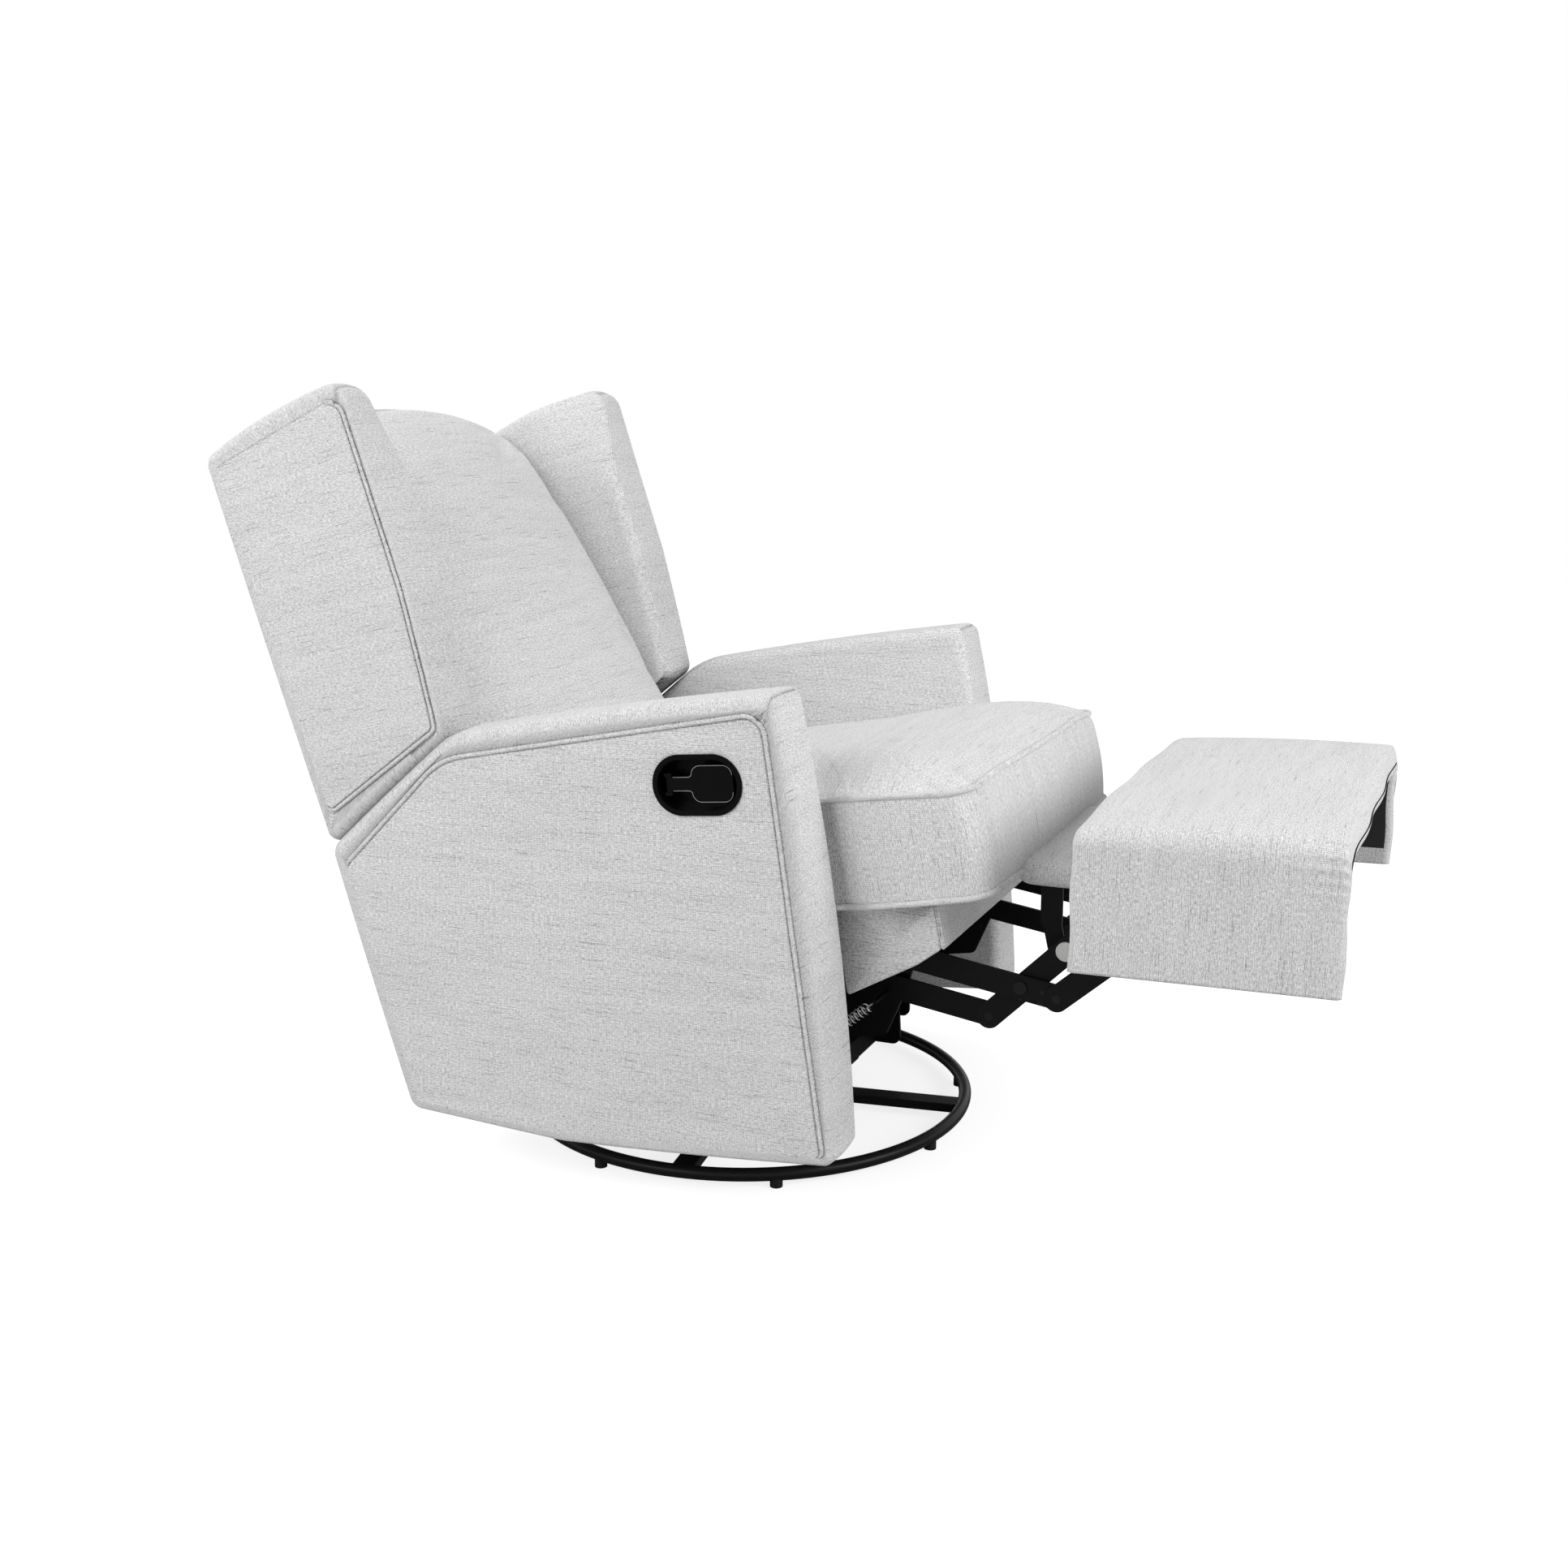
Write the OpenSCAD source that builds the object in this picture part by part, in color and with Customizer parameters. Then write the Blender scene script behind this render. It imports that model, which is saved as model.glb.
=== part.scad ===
// Swivel glider recliner with a wing back, its footrest out.
// +Z is up, the sitter faces -Y and sits between +X (their left) and -X.
// The origin is where the swivel axis meets the floor.
// Side outlines are drawn as (y, z) and pushed out along X.

/* [Base ring] */
// Radius of the ring's centre line
ring_r = 301; // [280:1:330]
// Diameter of the ring tube
ring_tube_d = 17; // [15:1:20]
// Width of each cross bar
bar_w = 28; // [24:1:36]
// Thickness of each cross bar
bar_t = 12; // [10:1:14]
// Turn of the cross bars about the swivel axis
bar_turn = 8; // [0:1:20]
// Number of feet under the ring
foot_count = 8; // [6:1:12]
// Diameter of a foot
foot_d = 16; // [14:1:24]
// Height of the ring above the floor
foot_h = 7.5; // [6:0.5:10]

/* [Swivel] */
// Radius of the lower swivel plate
lower_plate_r = 112; // [104:1:125]
// Thickness of the lower swivel plate
lower_plate_t = 3; // [2:0.5:5]
// Mean radius of the bearing ring
bearing_r = 86; // [80:1:92]
// Width of the bearing ring
bearing_w = 20; // [14:1:24]
// Height of the bearing ring
bearing_h = 12; // [8:1:16]
// Side of the upper swivel plate
upper_plate_w = 250; // [230:1:280]
// Thickness of the upper swivel plate
upper_plate_t = 4; // [3:0.5:6]
// Radius of the centre bolt
bolt_r = 8; // [6:0.5:10]

/* [Glide] */
// Distance between the front and rear glide pivots
glide_span = 280; // [250:1:300]
// Length of a glide link between its pivots
glide_link_len = 95; // [80:1:100]
// Height of the lower glide pivots
glide_low_z = 97; // [92:1:107]
// Thickness of a glide link and of a stanchion
glide_t = 5; // [4:0.5:6]
// Width of a glide link
glide_link_w = 30; // [26:1:34]
// Length of a stanchion
stanchion_len = 330; // [315:1:345]
// Height of the cross channels
channel_h = 30; // [24:1:32]
// Width of a cross channel
channel_w = 44; // [36:1:50]

/* [Mechanism] */
// How far each mechanism plate lies inside the seat frame's outer side
plate_inset = 78; // [74:1:84]
// Thickness of a mechanism plate
plate_t = 5; // [4:0.5:6]
// Thickness of a footrest link
link_t = 4; // [3:0.5:4.5]
// Gap between two layers of links
link_gap = 3; // [2.8:0.1:3.5]
// Width of a footrest link
link_w = 30; // [26:1:31]
// Radius of a pivot pin
pin_r = 5; // [4:0.5:6]
// Radial play of a pivot pin
pin_play = 0.05; // [0.02:0.01:0.1]
// Length of the lower and upper footrest links between pivots
lower_link_len = 175.3; // [168:0.1:182]
// Droop of the lower and upper links when the footrest is out
lower_link_droop = 8.7; // [6:0.1:12]
// Length of the long link between pivots
long_link_len = 280; // [270:1:290]
// Rise of the long link when the footrest is out
long_link_rise = 45; // [42:1:47]
// Radius of the cross tubes
tube_r = 10; // [8:1:11]

/* [Seat] */
// Width across the arms
body_w = 770; // [740:1:800]
// Thickness of an arm
arm_t = 88; // [82:1:92]
// Gap between the seat frame and an arm
frame_inset = 35; // [33:1:38]
// Forward height of the seat deck above the floor
deck_front_z = 404; // [397:1:412]
// Rake of the seat deck
seat_rake = 10.5; // [9:0.1:11.5]
// Depth of the seat cushion
cushion_len = 630; // [616:1:634]
// Thickness of the seat cushion at its welts
cushion_t = 127; // [115:1:135]
// Crown of the seat cushion
cushion_crown = 27; // [15:1:32]
// Thickness of the seat frame
frame_t = 38; // [32:1:38]
// Thickness of the frame's side rails
rail_w = 22; // [18:1:26]

/* [Arms] */
// Height of an arm
arm_h = 548; // [534:1:556]
// Length of an arm
arm_len = 692; // [674:1:700]
// Rounding of the arm's edges
arm_round = 14; // [10:1:18]

/* [Back] */
// Height of a wing
wing_h = 558; // [545:1:570]
// Depth of a wing's outline
wing_len = 336; // [326:1:340]
// Thickness of a wing
wing_t = 88; // [76:1:92]
// Rounding of a wing's edges
wing_round = 16; // [12:1:20]
// How far each wing lies inside the arm's outer face
wing_inset = 40; // [36:1:44]
// Thickness of the padded rear panel
shell_t = 46; // [40:1:48]
// Crown of the back cushion
back_crown = 28; // [16:1:32]

/* [Footrest] */
// Length of the footrest from rear to front
rest_len = 284; // [270:1:288]
// How far the footrest reaches past the space between the arms on each side
rest_over = 14.5; // [12:0.5:17]
// Depth of the end flaps
flap_h = 153; // [130:1:156]
// Thickness of an end flap
flap_t = 14; // [8:1:14]
// Thickness of the footrest pad
rest_pad_t = 28; // [20:1:29]
// Thickness of the footrest board
rest_board_t = 15; // [12:1:16]
// How far the small middle pad reaches past each strut
mid_pad_over = 14; // [10:1:15]
// Length of the small middle pad
mid_pad_len = 75; // [66:1:78]
// Thickness of the small middle pad
mid_pad_t = 22; // [18:1:24]

/* [Release handle] */
// Length of the handle bezel
bezel_len = 111; // [104:1:118]
// Height of the handle bezel
bezel_h = 70; // [62:1:74]
// Depth of the handle recess
bezel_depth = 22; // [20:1:24]
// Height of the handle's centre
handle_z = 527; // [517:1:532]

/* [Assist springs] */
// Curls in an assist spring
curls = 20; // [12:1:24]
// Radius of the curls
curl_r = 6.5; // [6:0.1:7.5]
// Radius of the spring wire
wire_r = 1.1; // [0.9:0.05:1.2]

/* [Hidden] */
$fn = 48;

// Gap between pieces that seat on each other
seat_gap = 0.3;
// How far a cut runs past what it cuts
over = 1;
// Thickness and radius of a pin's head
head_t = 2;
head_r = 8;

// Widths that follow from the body, the arms and the frame
seat_w = body_w - 2 * arm_t;
wing_span = body_w - 2 * wing_inset;
rest_w = seat_w + 2 * rest_over;
frame_half = seat_w / 2 - frame_inset;
plate_x = frame_half - plate_inset;
strut_inset = 21;
strut_x = plate_x - strut_inset;
mid_pad_w = 2 * (strut_x + mid_pad_over);

// Heights of the base
ring_z = foot_h + ring_tube_d / 2;
saddle_rise = 5;
bar_top = ring_z + bar_t / 2;
lower_plate_rim = 6;
bearing_z = bar_top + lower_plate_t;
upper_plate_z = bearing_z + bearing_h + seat_gap;
upper_plate_top = upper_plate_z + upper_plate_t;
bolt_head_r = 15;
bolt_head_h = 8;
upper_plate_round = 24;
plate_window_r = 26;

// Layers of the glide and of the footrest linkage, counted from the mechanism plate
glide_link_x = plate_x - link_gap - glide_t;
stanchion_x = glide_link_x - link_gap - glide_t;
plate_out = plate_x + plate_t;
function layer_x(n) = plate_out + link_gap + n * (link_t + link_gap);
layer_low = layer_x(0);
layer_long = layer_x(1);
layer_up = layer_x(2);
layer_short = layer_x(3);
glide_top_z = glide_low_z + glide_link_len;
channel_y = 105;
channel_wall = 3;
stanchion_foot_shares = [[-1, 0], [1, 0], [0.95, 1], [-0.95, 1]];
stanchion_low = upper_plate_top;
stanchion_top = glide_top_z + glide_link_w / 2;
stanchion_round = 12;
window_margin = 24;
stanchion_web = 26;

// Pivots of the footrest linkage with the footrest out
knee = [-402, 236];
lower_dir = [-cos(lower_link_droop), -sin(lower_link_droop)];
low_pivot = knee - lower_link_len * lower_dir;
link_step = [-39.6, 42.4];
up_pivot = low_pivot + link_step;
up_knee = knee + link_step;
long_dir = [-cos(long_link_rise), sin(long_link_rise)];
bracket_pivot = knee + long_link_len * long_dir;
short_tail = 45;
short_pivot = up_knee + short_tail * lower_dir;
bracket_arm = [-52, -15.7];
bracket_far = bracket_pivot + bracket_arm;

// The seat deck, a raked plane whose front edge lies under the cushion's front
deck_front_y = -400;
frame_front = 50;
frame_end = 608;
rake_dir = [cos(seat_rake), -sin(seat_rake)];
rake_up = [sin(seat_rake), cos(seat_rake)];
function on_deck(run, rise) = [deck_front_y, deck_front_z] + run * rake_dir + rise * rake_up;

// Recline pivot
recline_pivot = [310, 250];
recline_lobe_r = 22;

// Small unit helpers
function unit(v) = v / norm(v);
function cross_dir(a, b) = let (d = unit(b - a)) [-d.y, d.x];

// Points of a rounded corner at p between the neighbours a and b
function corner_arc(p, a, b, r, n) =
    let (
        u = unit(a - p),
        w = unit(b - p),
        half = acos(u * w) / 2,
        start = p + u * r / tan(half),
        end = p + w * r / tan(half),
        c = p + unit(u + w) * r / sin(half),
        a0 = atan2(start.y - c.y, start.x - c.x),
        a1 = atan2(end.y - c.y, end.x - c.x),
        sweep = ((a1 - a0 + 540) % 360) - 180
    )
    [for (i = [0:n]) c + r * [cos(a0 + sweep * i / n), sin(a0 + sweep * i / n)]];

// An outline with every corner rounded
function rounded(pts, r, n = 5) =
    let (m = len(pts))
    [for (i = [0:m - 1]) for (q = corner_arc(pts[i], pts[(i + m - 1) % m], pts[(i + 1) % m], r, n)) q];

// An outline given as shares of two sizes from a corner
function scaled(shares, size, from) = [for (s = shares) from + [s.x * size.x, s.y * size.y]];

// Pushes a (y, z) outline out along X from x0
module side(x0, w) {
    translate([x0, 0, 0])
        rotate([90, 0, 90])
            linear_extrude(w)
                children();
}

// Puts a piece drawn on the +X side on the other side
module on_right() {
    mirror([1, 0, 0])
        children();
}

module on_both() {
    children();
    on_right()
        children();
}

// A bar with two round ends
module bar_outline(a, b, r) {
    n = cross_dir(a, b) * r;
    translate(a)
        circle(r);
    translate(b)
        circle(r);
    polygon([a + n, b + n, b - n, a - n]);
}

// A flat link with a pin hole at each end
module link_plate(a, b, r, hole_r) {
    difference() {
        bar_outline(a, b, r);
        translate(a)
            circle(hole_r);
        translate(b)
            circle(hole_r);
    }
}

// A pin along X from x0 to x1 at the (y, z) point p
module pin_x(p, x0, x1, r) {
    translate([x0, p.x, p.y])
        rotate([0, 90, 0])
            cylinder(h = x1 - x0, r = r);
}

// A closed skin over rings of equal point count, from the lowest ring to the highest
module skin(rings) {
    n = len(rings[0]);
    m = len(rings);
    pts = concat([for (r = rings) for (p = r) p], [mean_point(rings[0]), mean_point(rings[m - 1])]);
    walls = [for (k = [0:m - 2]) for (i = [0:n - 1]) for (t = [0, 1])
        t == 0 ? [k * n + i, (k + 1) * n + i, (k + 1) * n + (i + 1) % n]
               : [k * n + i, (k + 1) * n + (i + 1) % n, k * n + (i + 1) % n]];
    floor_fan = [for (i = [0:n - 1]) [m * n, i, (i + 1) % n]];
    roof_fan = [for (i = [0:n - 1]) [m * n + 1, (m - 1) * n + (i + 1) % n, (m - 1) * n + i]];
    polyhedron(pts, concat(walls, floor_fan, roof_fan));
}
function sum_points(pts, i = 0) = i == len(pts) - 1 ? pts[i] : pts[i] + sum_points(pts, i + 1);
function mean_point(pts) = sum_points(pts) / len(pts);

// Base ring and what stands on it

module ring_torus(extra) {
    translate([0, 0, ring_z])
        rotate_extrude($fn = 96)
            translate([ring_r, 0])
                circle(ring_tube_d / 2 + extra, $fn = 24);
}

module base_ring() {
    color("black")
        ring_torus(0);
}

module base_cross_bars() {
    color("black")
        rotate([0, 0, bar_turn])
            difference() {
                union() {
                    translate([-ring_r, -bar_w / 2, ring_z - bar_t / 2])
                        cube([2 * ring_r, bar_w, bar_t]);
                    translate([-bar_w / 2, -ring_r, ring_z - bar_t / 2])
                        cube([bar_w, 2 * ring_r, bar_t]);
                }
                ring_torus(seat_gap);
            }
}

module base_feet() {
    color("black")
        for (i = [0:foot_count - 1])
            difference() {
                rotate([0, 0, bar_turn + (i + 1 / 2) * 360 / foot_count])
                    translate([ring_r, 0, 0])
                        cylinder(h = foot_h + saddle_rise, r = foot_d / 2);
                ring_torus(seat_gap);
            }
}

module swivel_lower_plate() {
    color("black")
        translate([0, 0, bar_top])
            difference() {
                cylinder(h = lower_plate_t + lower_plate_rim, r = lower_plate_r);
                translate([0, 0, lower_plate_t])
                    cylinder(h = lower_plate_rim + over, r = lower_plate_r - lower_plate_t);
            }
}

module swivel_bearing() {
    color("silver")
        translate([0, 0, bearing_z])
            rotate_extrude()
                translate([bearing_r - bearing_w / 2, 0])
                    square([bearing_w, bearing_h]);
}

module swivel_bolt() {
    color("silver") {
        translate([0, 0, bearing_z])
            cylinder(h = upper_plate_top - bearing_z + seat_gap, r = bolt_r);
        translate([0, 0, upper_plate_top + seat_gap])
            cylinder(h = bolt_head_h, r = bolt_head_r, $fn = 6);
    }
}

// Carriage that swivels on the base

module swivel_upper_plate() {
    w = upper_plate_w / 2;
    color("black")
        translate([0, 0, upper_plate_z])
            linear_extrude(upper_plate_t)
                difference() {
                    polygon(rounded([[-w, -w], [w, -w], [w, w], [-w, w]], upper_plate_round));
                    circle(bolt_r + pin_play);
                    for (i = [0:3])
                        rotate(45 + 90 * i)
                            translate([bearing_r * sqrt(2) / 2 + plate_window_r, 0])
                                circle(plate_window_r);
                }
}

module channel_outline() {
    difference() {
        translate([-channel_w / 2, 0])
            square([channel_w, channel_h]);
        translate([-channel_w / 2 + channel_wall, -over])
            square([channel_w - 2 * channel_wall, channel_h - channel_wall + over]);
    }
}

module glide_channels() {
    color("black")
        for (s = [-1, 1])
            translate([0, s * channel_y, upper_plate_top])
                side(-stanchion_x, 2 * stanchion_x)
                    channel_outline();
}

// Stanchion outline: a trapezium with two rounded windows either side of a middle web
module stanchion() {
    half = stanchion_len / 2;
    rise = stanchion_top - stanchion_low;
    from = [0, stanchion_low];
    outline = scaled(stanchion_foot_shares, [half, rise], from);
    window = [
        [stanchion_web / 2, stanchion_low + channel_h + window_margin / 2],
        [half - 2 * window_margin, stanchion_low + channel_h + window_margin / 2],
        [half - 2 * window_margin, stanchion_top - 2 * window_margin],
        [stanchion_web / 2, stanchion_top - window_margin / 2],
    ];
    side(stanchion_x, glide_t)
        difference() {
            polygon(rounded(outline, stanchion_round));
            polygon(rounded(window, stanchion_round / 2));
            mirror([1, 0])
                polygon(rounded(window, stanchion_round / 2));
            for (s = [-1, 1])
                translate([s * glide_span / 2, glide_top_z])
                    circle(pin_r + pin_play);
        }
}

module glide_stanchion_left() {
    color("black")
        stanchion();
}

module glide_stanchion_right() {
    color("black")
        on_right()
            stanchion();
}

module stanchion_pins() {
    color("silver")
        on_both()
            for (s = [-1, 1]) {
                p = [s * glide_span / 2, glide_top_z];
                end = glide_link_x + glide_t + seat_gap;
                pin_x(p, stanchion_x, end, pin_r);
                pin_x(p, end, end + head_t, head_r);
            }
}

// Glide links, two in front and two behind

module glide_link(s) {
    side(glide_link_x, glide_t)
        link_plate(
            [s * glide_span / 2, glide_top_z], [s * glide_span / 2, glide_low_z],
            glide_link_w / 2, pin_r + pin_play);
}

module front_glide_links() {
    color("black")
        on_both()
            glide_link(-1);
}

module rear_glide_links() {
    color("black")
        on_both()
            glide_link(1);
}

module glide_pins() {
    color("silver")
        on_both()
            for (s = [-1, 1]) {
                p = [s * glide_span / 2, glide_low_z];
                end = glide_link_x - seat_gap;
                pin_x(p, end, plate_x, pin_r);
                pin_x(p, end - head_t, end, head_r);
            }
}

// Mechanism plates under the seat

plate_flange_w = 30;
plate_flange_t = 4;
plate_round = 10;
plate_rail_h = 34;
plate_rail_half = 172;
plate_under = -frame_t - seat_gap;
plate_front_run = 84;
plate_rear_run = 610;
plate_window_top = 34;
plate_nose = 36;
plate_lobe_r = 18;
plate_waist = [-232, 182];
plate_chin = [-268, 188];
plate_throat = [-296, 254];
plate_lip = [-306, 292];
plate_heel = [250, 197];
rail_low = glide_low_z - plate_rail_h / 2;

// Outline of the plate: along the deck, round the recline pivot, back along the glide rail
function plate_outline() = [
    on_deck(plate_front_run, plate_under - plate_nose),
    on_deck(plate_front_run, plate_under),
    on_deck(plate_rear_run, plate_under),
    recline_pivot + [0, recline_lobe_r],
    recline_pivot + [recline_lobe_r, 0],
    recline_pivot - [0, recline_lobe_r],
    plate_heel,
    [plate_rail_half, rail_low + 2 * plate_rail_h],
    [plate_rail_half, rail_low],
    [-plate_rail_half, rail_low],
    [-plate_rail_half, rail_low + 2 * plate_rail_h],
    plate_waist,
    plate_chin,
    plate_throat,
    plate_lip,
];
function plate_window(a, b) = [
    [a, rail_low + plate_rail_h + plate_round],
    [b, rail_low + plate_rail_h + plate_round],
    [b, on_deck(b - deck_front_y, plate_under).y - plate_window_top],
    [a, on_deck(a - deck_front_y, plate_under).y - plate_window_top],
];

module mechanism_plate() {
    side(plate_x, plate_t)
        difference() {
            union() {
                polygon(rounded(plate_outline(), plate_round));
                translate(recline_pivot)
                    circle(recline_lobe_r);
                translate(low_pivot)
                    circle(plate_lobe_r);
            }
            polygon(rounded(plate_window(-plate_rail_half + window_margin, -stanchion_web), plate_round));
            polygon(rounded(plate_window(stanchion_web / 2, plate_rail_half - window_margin), plate_round));
        }
    side(plate_x - plate_flange_w, plate_flange_w)
        polygon([
            on_deck(plate_front_run, plate_under),
            on_deck(plate_rear_run, plate_under),
            on_deck(plate_rear_run, plate_under - plate_flange_t),
            on_deck(plate_front_run, plate_under - plate_flange_t),
        ]);
}

module mechanism_plate_left() {
    color("black")
        mechanism_plate();
}

module mechanism_plate_right() {
    color("black")
        on_right()
            mechanism_plate();
}

front_tube = [-262, 321];
rear_tube = [205, 222];

module front_cross_tube() {
    color("black")
        pin_x(front_tube, -plate_x, plate_x, tube_r);
}

module rear_cross_tube() {
    color("black")
        pin_x(rear_tube, -plate_x, plate_x, tube_r);
}

module link_pivot_pins() {
    color("silver")
        on_both() {
            for (p = [low_pivot, recline_pivot]) {
                pin_x(p, plate_out, layer_low + link_t + seat_gap, pin_r);
                pin_x(p, layer_low + link_t + seat_gap, layer_low + link_t + seat_gap + head_t, head_r);
            }
            pin_x(up_pivot, plate_out, layer_up + link_t + seat_gap, pin_r);
            pin_x(up_pivot, layer_up + link_t + seat_gap, layer_up + link_t + seat_gap + head_t, head_r);
            pin_x(spring_low, plate_out, spring_x + 2 * curl_r, spring_lug_r);
        }
}

// Seat frame, springs, cushion and band

frame_rail = 60;
arm_rail_runs = [200, 560];

module deck_slab(run0, run1, low, high, x0, x1) {
    side(x0, x1 - x0)
        polygon([on_deck(run0, low), on_deck(run1, low), on_deck(run1, high), on_deck(run0, high)]);
}

module seat_frame() {
    low = -frame_t;
    high = -seat_gap;
    color("burlywood") {
        for (s = [[-frame_half, -frame_half + rail_w], [frame_half - rail_w, frame_half]])
            deck_slab(frame_front, frame_end, low, high, s[0], s[1]);
        for (r = [[frame_front, frame_front + frame_rail], [frame_end - frame_rail, frame_end]])
            deck_slab(r[0], r[1], low, high, -frame_half + rail_w, frame_half - rail_w);
        for (s = [[-seat_w / 2 + seat_gap, -frame_half], [frame_half, seat_w / 2 - seat_gap]])
            deck_slab(arm_rail_runs[0], arm_rail_runs[1], low, high, s[0], s[1]);
    }
}

spring_rows = 4;
spring_waves = 5;
spring_wave_w = 24;
spring_wire_r = 2.2;
spring_sides = 5;
spring_sink = 8;
spring_start = frame_front + frame_rail;
spring_end = frame_end - frame_rail;
spring_steps = 40;
spring_ramp = 8;
spring_clear = 1;

// A wire tube along a row of points, each ring square to the run
module wire_tube(path, r, sides) {
    m = len(path);
    rings = [for (k = [0:m - 1])
        let (
            d = unit(path[min(k + 1, m - 1)] - path[max(k - 1, 0)]),
            u = unit(cross(d, abs(d.z) < 0.9 ? [0, 0, 1] : [0, 1, 0])),
            w = cross(d, u)
        )
        [for (i = [0:sides - 1]) path[k] + r * (cos(360 * i / sides) * u + sin(360 * i / sides) * w)]];
    skin(rings);
}

module seat_springs() {
    pitch = (2 * (frame_half - rail_w)) / (spring_rows + 1);
    color("dimgray")
        for (j = [1:spring_rows])
            wire_tube(
                [for (k = [0:spring_steps])
                    let (
                        t = k / spring_steps,
                        edge = min(1, spring_ramp * t, spring_ramp * (1 - t)),
                        q = on_deck(
                            spring_start + spring_clear + t * (spring_end - spring_start - 2 * spring_clear),
                            -spring_sink)
                    )
                    [-frame_half + rail_w + j * pitch
                        + spring_wave_w * edge * sin(360 * spring_waves * t), q.x, q.y]],
                spring_wire_r, spring_sides);
}

cushion_front_run = -26;
cushion_gap = 4;
cushion_half = seat_w / 2 - cushion_gap;
cushion_ear = 10;
cushion_neck_run = 172;
cushion_round = 34;
cushion_neck_round = 12;
// Ring height as a share of the side, and size as a share of the outline
cushion_side_shares = [
    [0, 0.975], [0.03, 0.995], [0.25, 0.985], [0.5, 0.982], [0.75, 0.985], [0.97, 0.995], [1, 0.99],
];
cushion_crown_shares = [0.93, 0.8, 0.62, 0.4, 0.18];

// Plan of the cushion, a little wider in front of the arms
cushion_wide = cushion_half + cushion_ear;
function cushion_plan() = concat(
    corner_arc([-cushion_wide, 0], [-cushion_wide, cushion_neck_run], [0, 0], cushion_round, 4),
    corner_arc([cushion_wide, 0], [0, 0], [cushion_wide, cushion_neck_run], cushion_round, 4),
    [[cushion_wide, cushion_neck_run - cushion_round]],
    [[cushion_half, cushion_neck_run]],
    corner_arc([cushion_half, cushion_len], [cushion_half, 0], [0, cushion_len], cushion_neck_round, 3),
    corner_arc([-cushion_half, cushion_len], [0, cushion_len], [-cushion_half, 0], cushion_neck_round, 3),
    [[-cushion_half, cushion_neck_run]],
    [[-cushion_wide, cushion_neck_run - cushion_round]]
);

module seat_cushion() {
    plan = cushion_plan();
    middle = [0, cushion_len / 2];
    rings = concat(
        [for (s = cushion_side_shares)
            [for (p = plan) let (q = middle + s[1] * (p - middle)) [q.x, q.y, s[0] * cushion_t]]],
        [for (s = cushion_crown_shares)
            [for (p = plan) let (q = middle + s * (p - middle))
                [q.x, q.y, cushion_t + cushion_crown * (1 - s * s * s)]]]
    );
    color("gainsboro")
        translate([0, deck_front_y, deck_front_z])
            rotate([-seat_rake, 0, 0])
                translate([0, cushion_front_run, 0])
                    skin(rings);
}

band_t = 6;
band_side_t = 10;
band_rear_run = 175;
band_rear_drop = 112;
band_mid_run = 81;
band_mid_drop = 80;
band_front_drop = 64;

module seat_front_band() {
    color("gainsboro") {
        deck_slab(frame_front - band_t - seat_gap, frame_front - seat_gap, -band_front_drop, -seat_gap,
            -frame_half - seat_gap - band_side_t, frame_half + seat_gap + band_side_t);
        on_both()
            side(frame_half + seat_gap, band_side_t)
                polygon([
                    on_deck(frame_front - seat_gap, -seat_gap),
                    on_deck(band_rear_run, -seat_gap),
                    on_deck(band_rear_run, -band_rear_drop),
                    on_deck(band_mid_run, -band_mid_drop),
                    on_deck(frame_front - seat_gap, -band_front_drop),
                ]);
    }
}

// Arms: a padded slab with rounded edges round a plywood panel

arm_x = seat_w / 2;
arm_from = [-282, 96];
arm_shares = [
    [0, 0], [0.103, 0.978], [0.118, 0.998], [0.6885, 0.889], [1, 0.5985], [0.837, -0.0146], [0.5197, -0.0365],
];
arm_panel_t = 18;
arm_panel_shares = [
    [0.05, 0.08], [0.14, 0.9], [0.66, 0.79], [0.91, 0.56], [0.76, 0.05], [0.51, 0.03],
];
arm_window_shares = [[0.2, 0.2], [0.24, 0.62], [0.4, 0.6], [0.4, 0.18]];
arm_window_rear_shares = [[0.5, 0.17], [0.5, 0.6], [0.66, 0.57], [0.66, 0.17]];

module arm_body() {
    outline = scaled(arm_shares, [arm_len, arm_h], arm_from);
    m = len(outline);
    difference() {
        hull()
            for (i = [0:m - 1]) {
                // Centres are set in by the rounding along both edges that meet at the corner
                u = unit(outline[(i + m - 1) % m] - outline[i]);
                w = unit(outline[(i + 1) % m] - outline[i]);
                half = acos(u * w) / 2;
                c = outline[i] + unit(u + w) * arm_round / sin(half);
                for (x = [arm_x + arm_round, arm_x + arm_t - arm_round])
                    translate([x, c.x, c.y])
                        sphere(arm_round, $fn = 24);
            }
        side(arm_panel_x - seat_gap, arm_panel_t + 2 * seat_gap)
            polygon(scaled(arm_panel_shares, [arm_len, arm_h], arm_from));
    }
}
arm_panel_x = arm_x + (arm_t - arm_panel_t) / 2;

module arm_panel() {
    side(arm_panel_x, arm_panel_t)
        difference() {
            polygon(scaled(arm_panel_shares, [arm_len - arm_panel_t, arm_h - arm_panel_t], arm_panel_from));
            polygon(rounded(scaled(arm_window_shares, [arm_len, arm_h], arm_from), arm_round));
            polygon(rounded(scaled(arm_window_rear_shares, [arm_len, arm_h], arm_from), arm_round));
        }
}
arm_panel_from = arm_from + [arm_panel_t / 2, arm_panel_t / 4];

module arm_left() {
    color("gainsboro")
        arm_body();
}

module arm_right() {
    color("gainsboro")
        difference() {
            on_right()
                arm_body();
            at_handle()
                side(-over - arm_round, bezel_depth + bezel_wall + seat_gap + over + arm_round)
                    stadium(bezel_len - 2 * bezel_lip + 2 * seat_gap, bezel_h - 2 * bezel_lip + 2 * seat_gap);
        }
}

module arm_frame_left() {
    color("burlywood")
        arm_panel();
}

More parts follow.
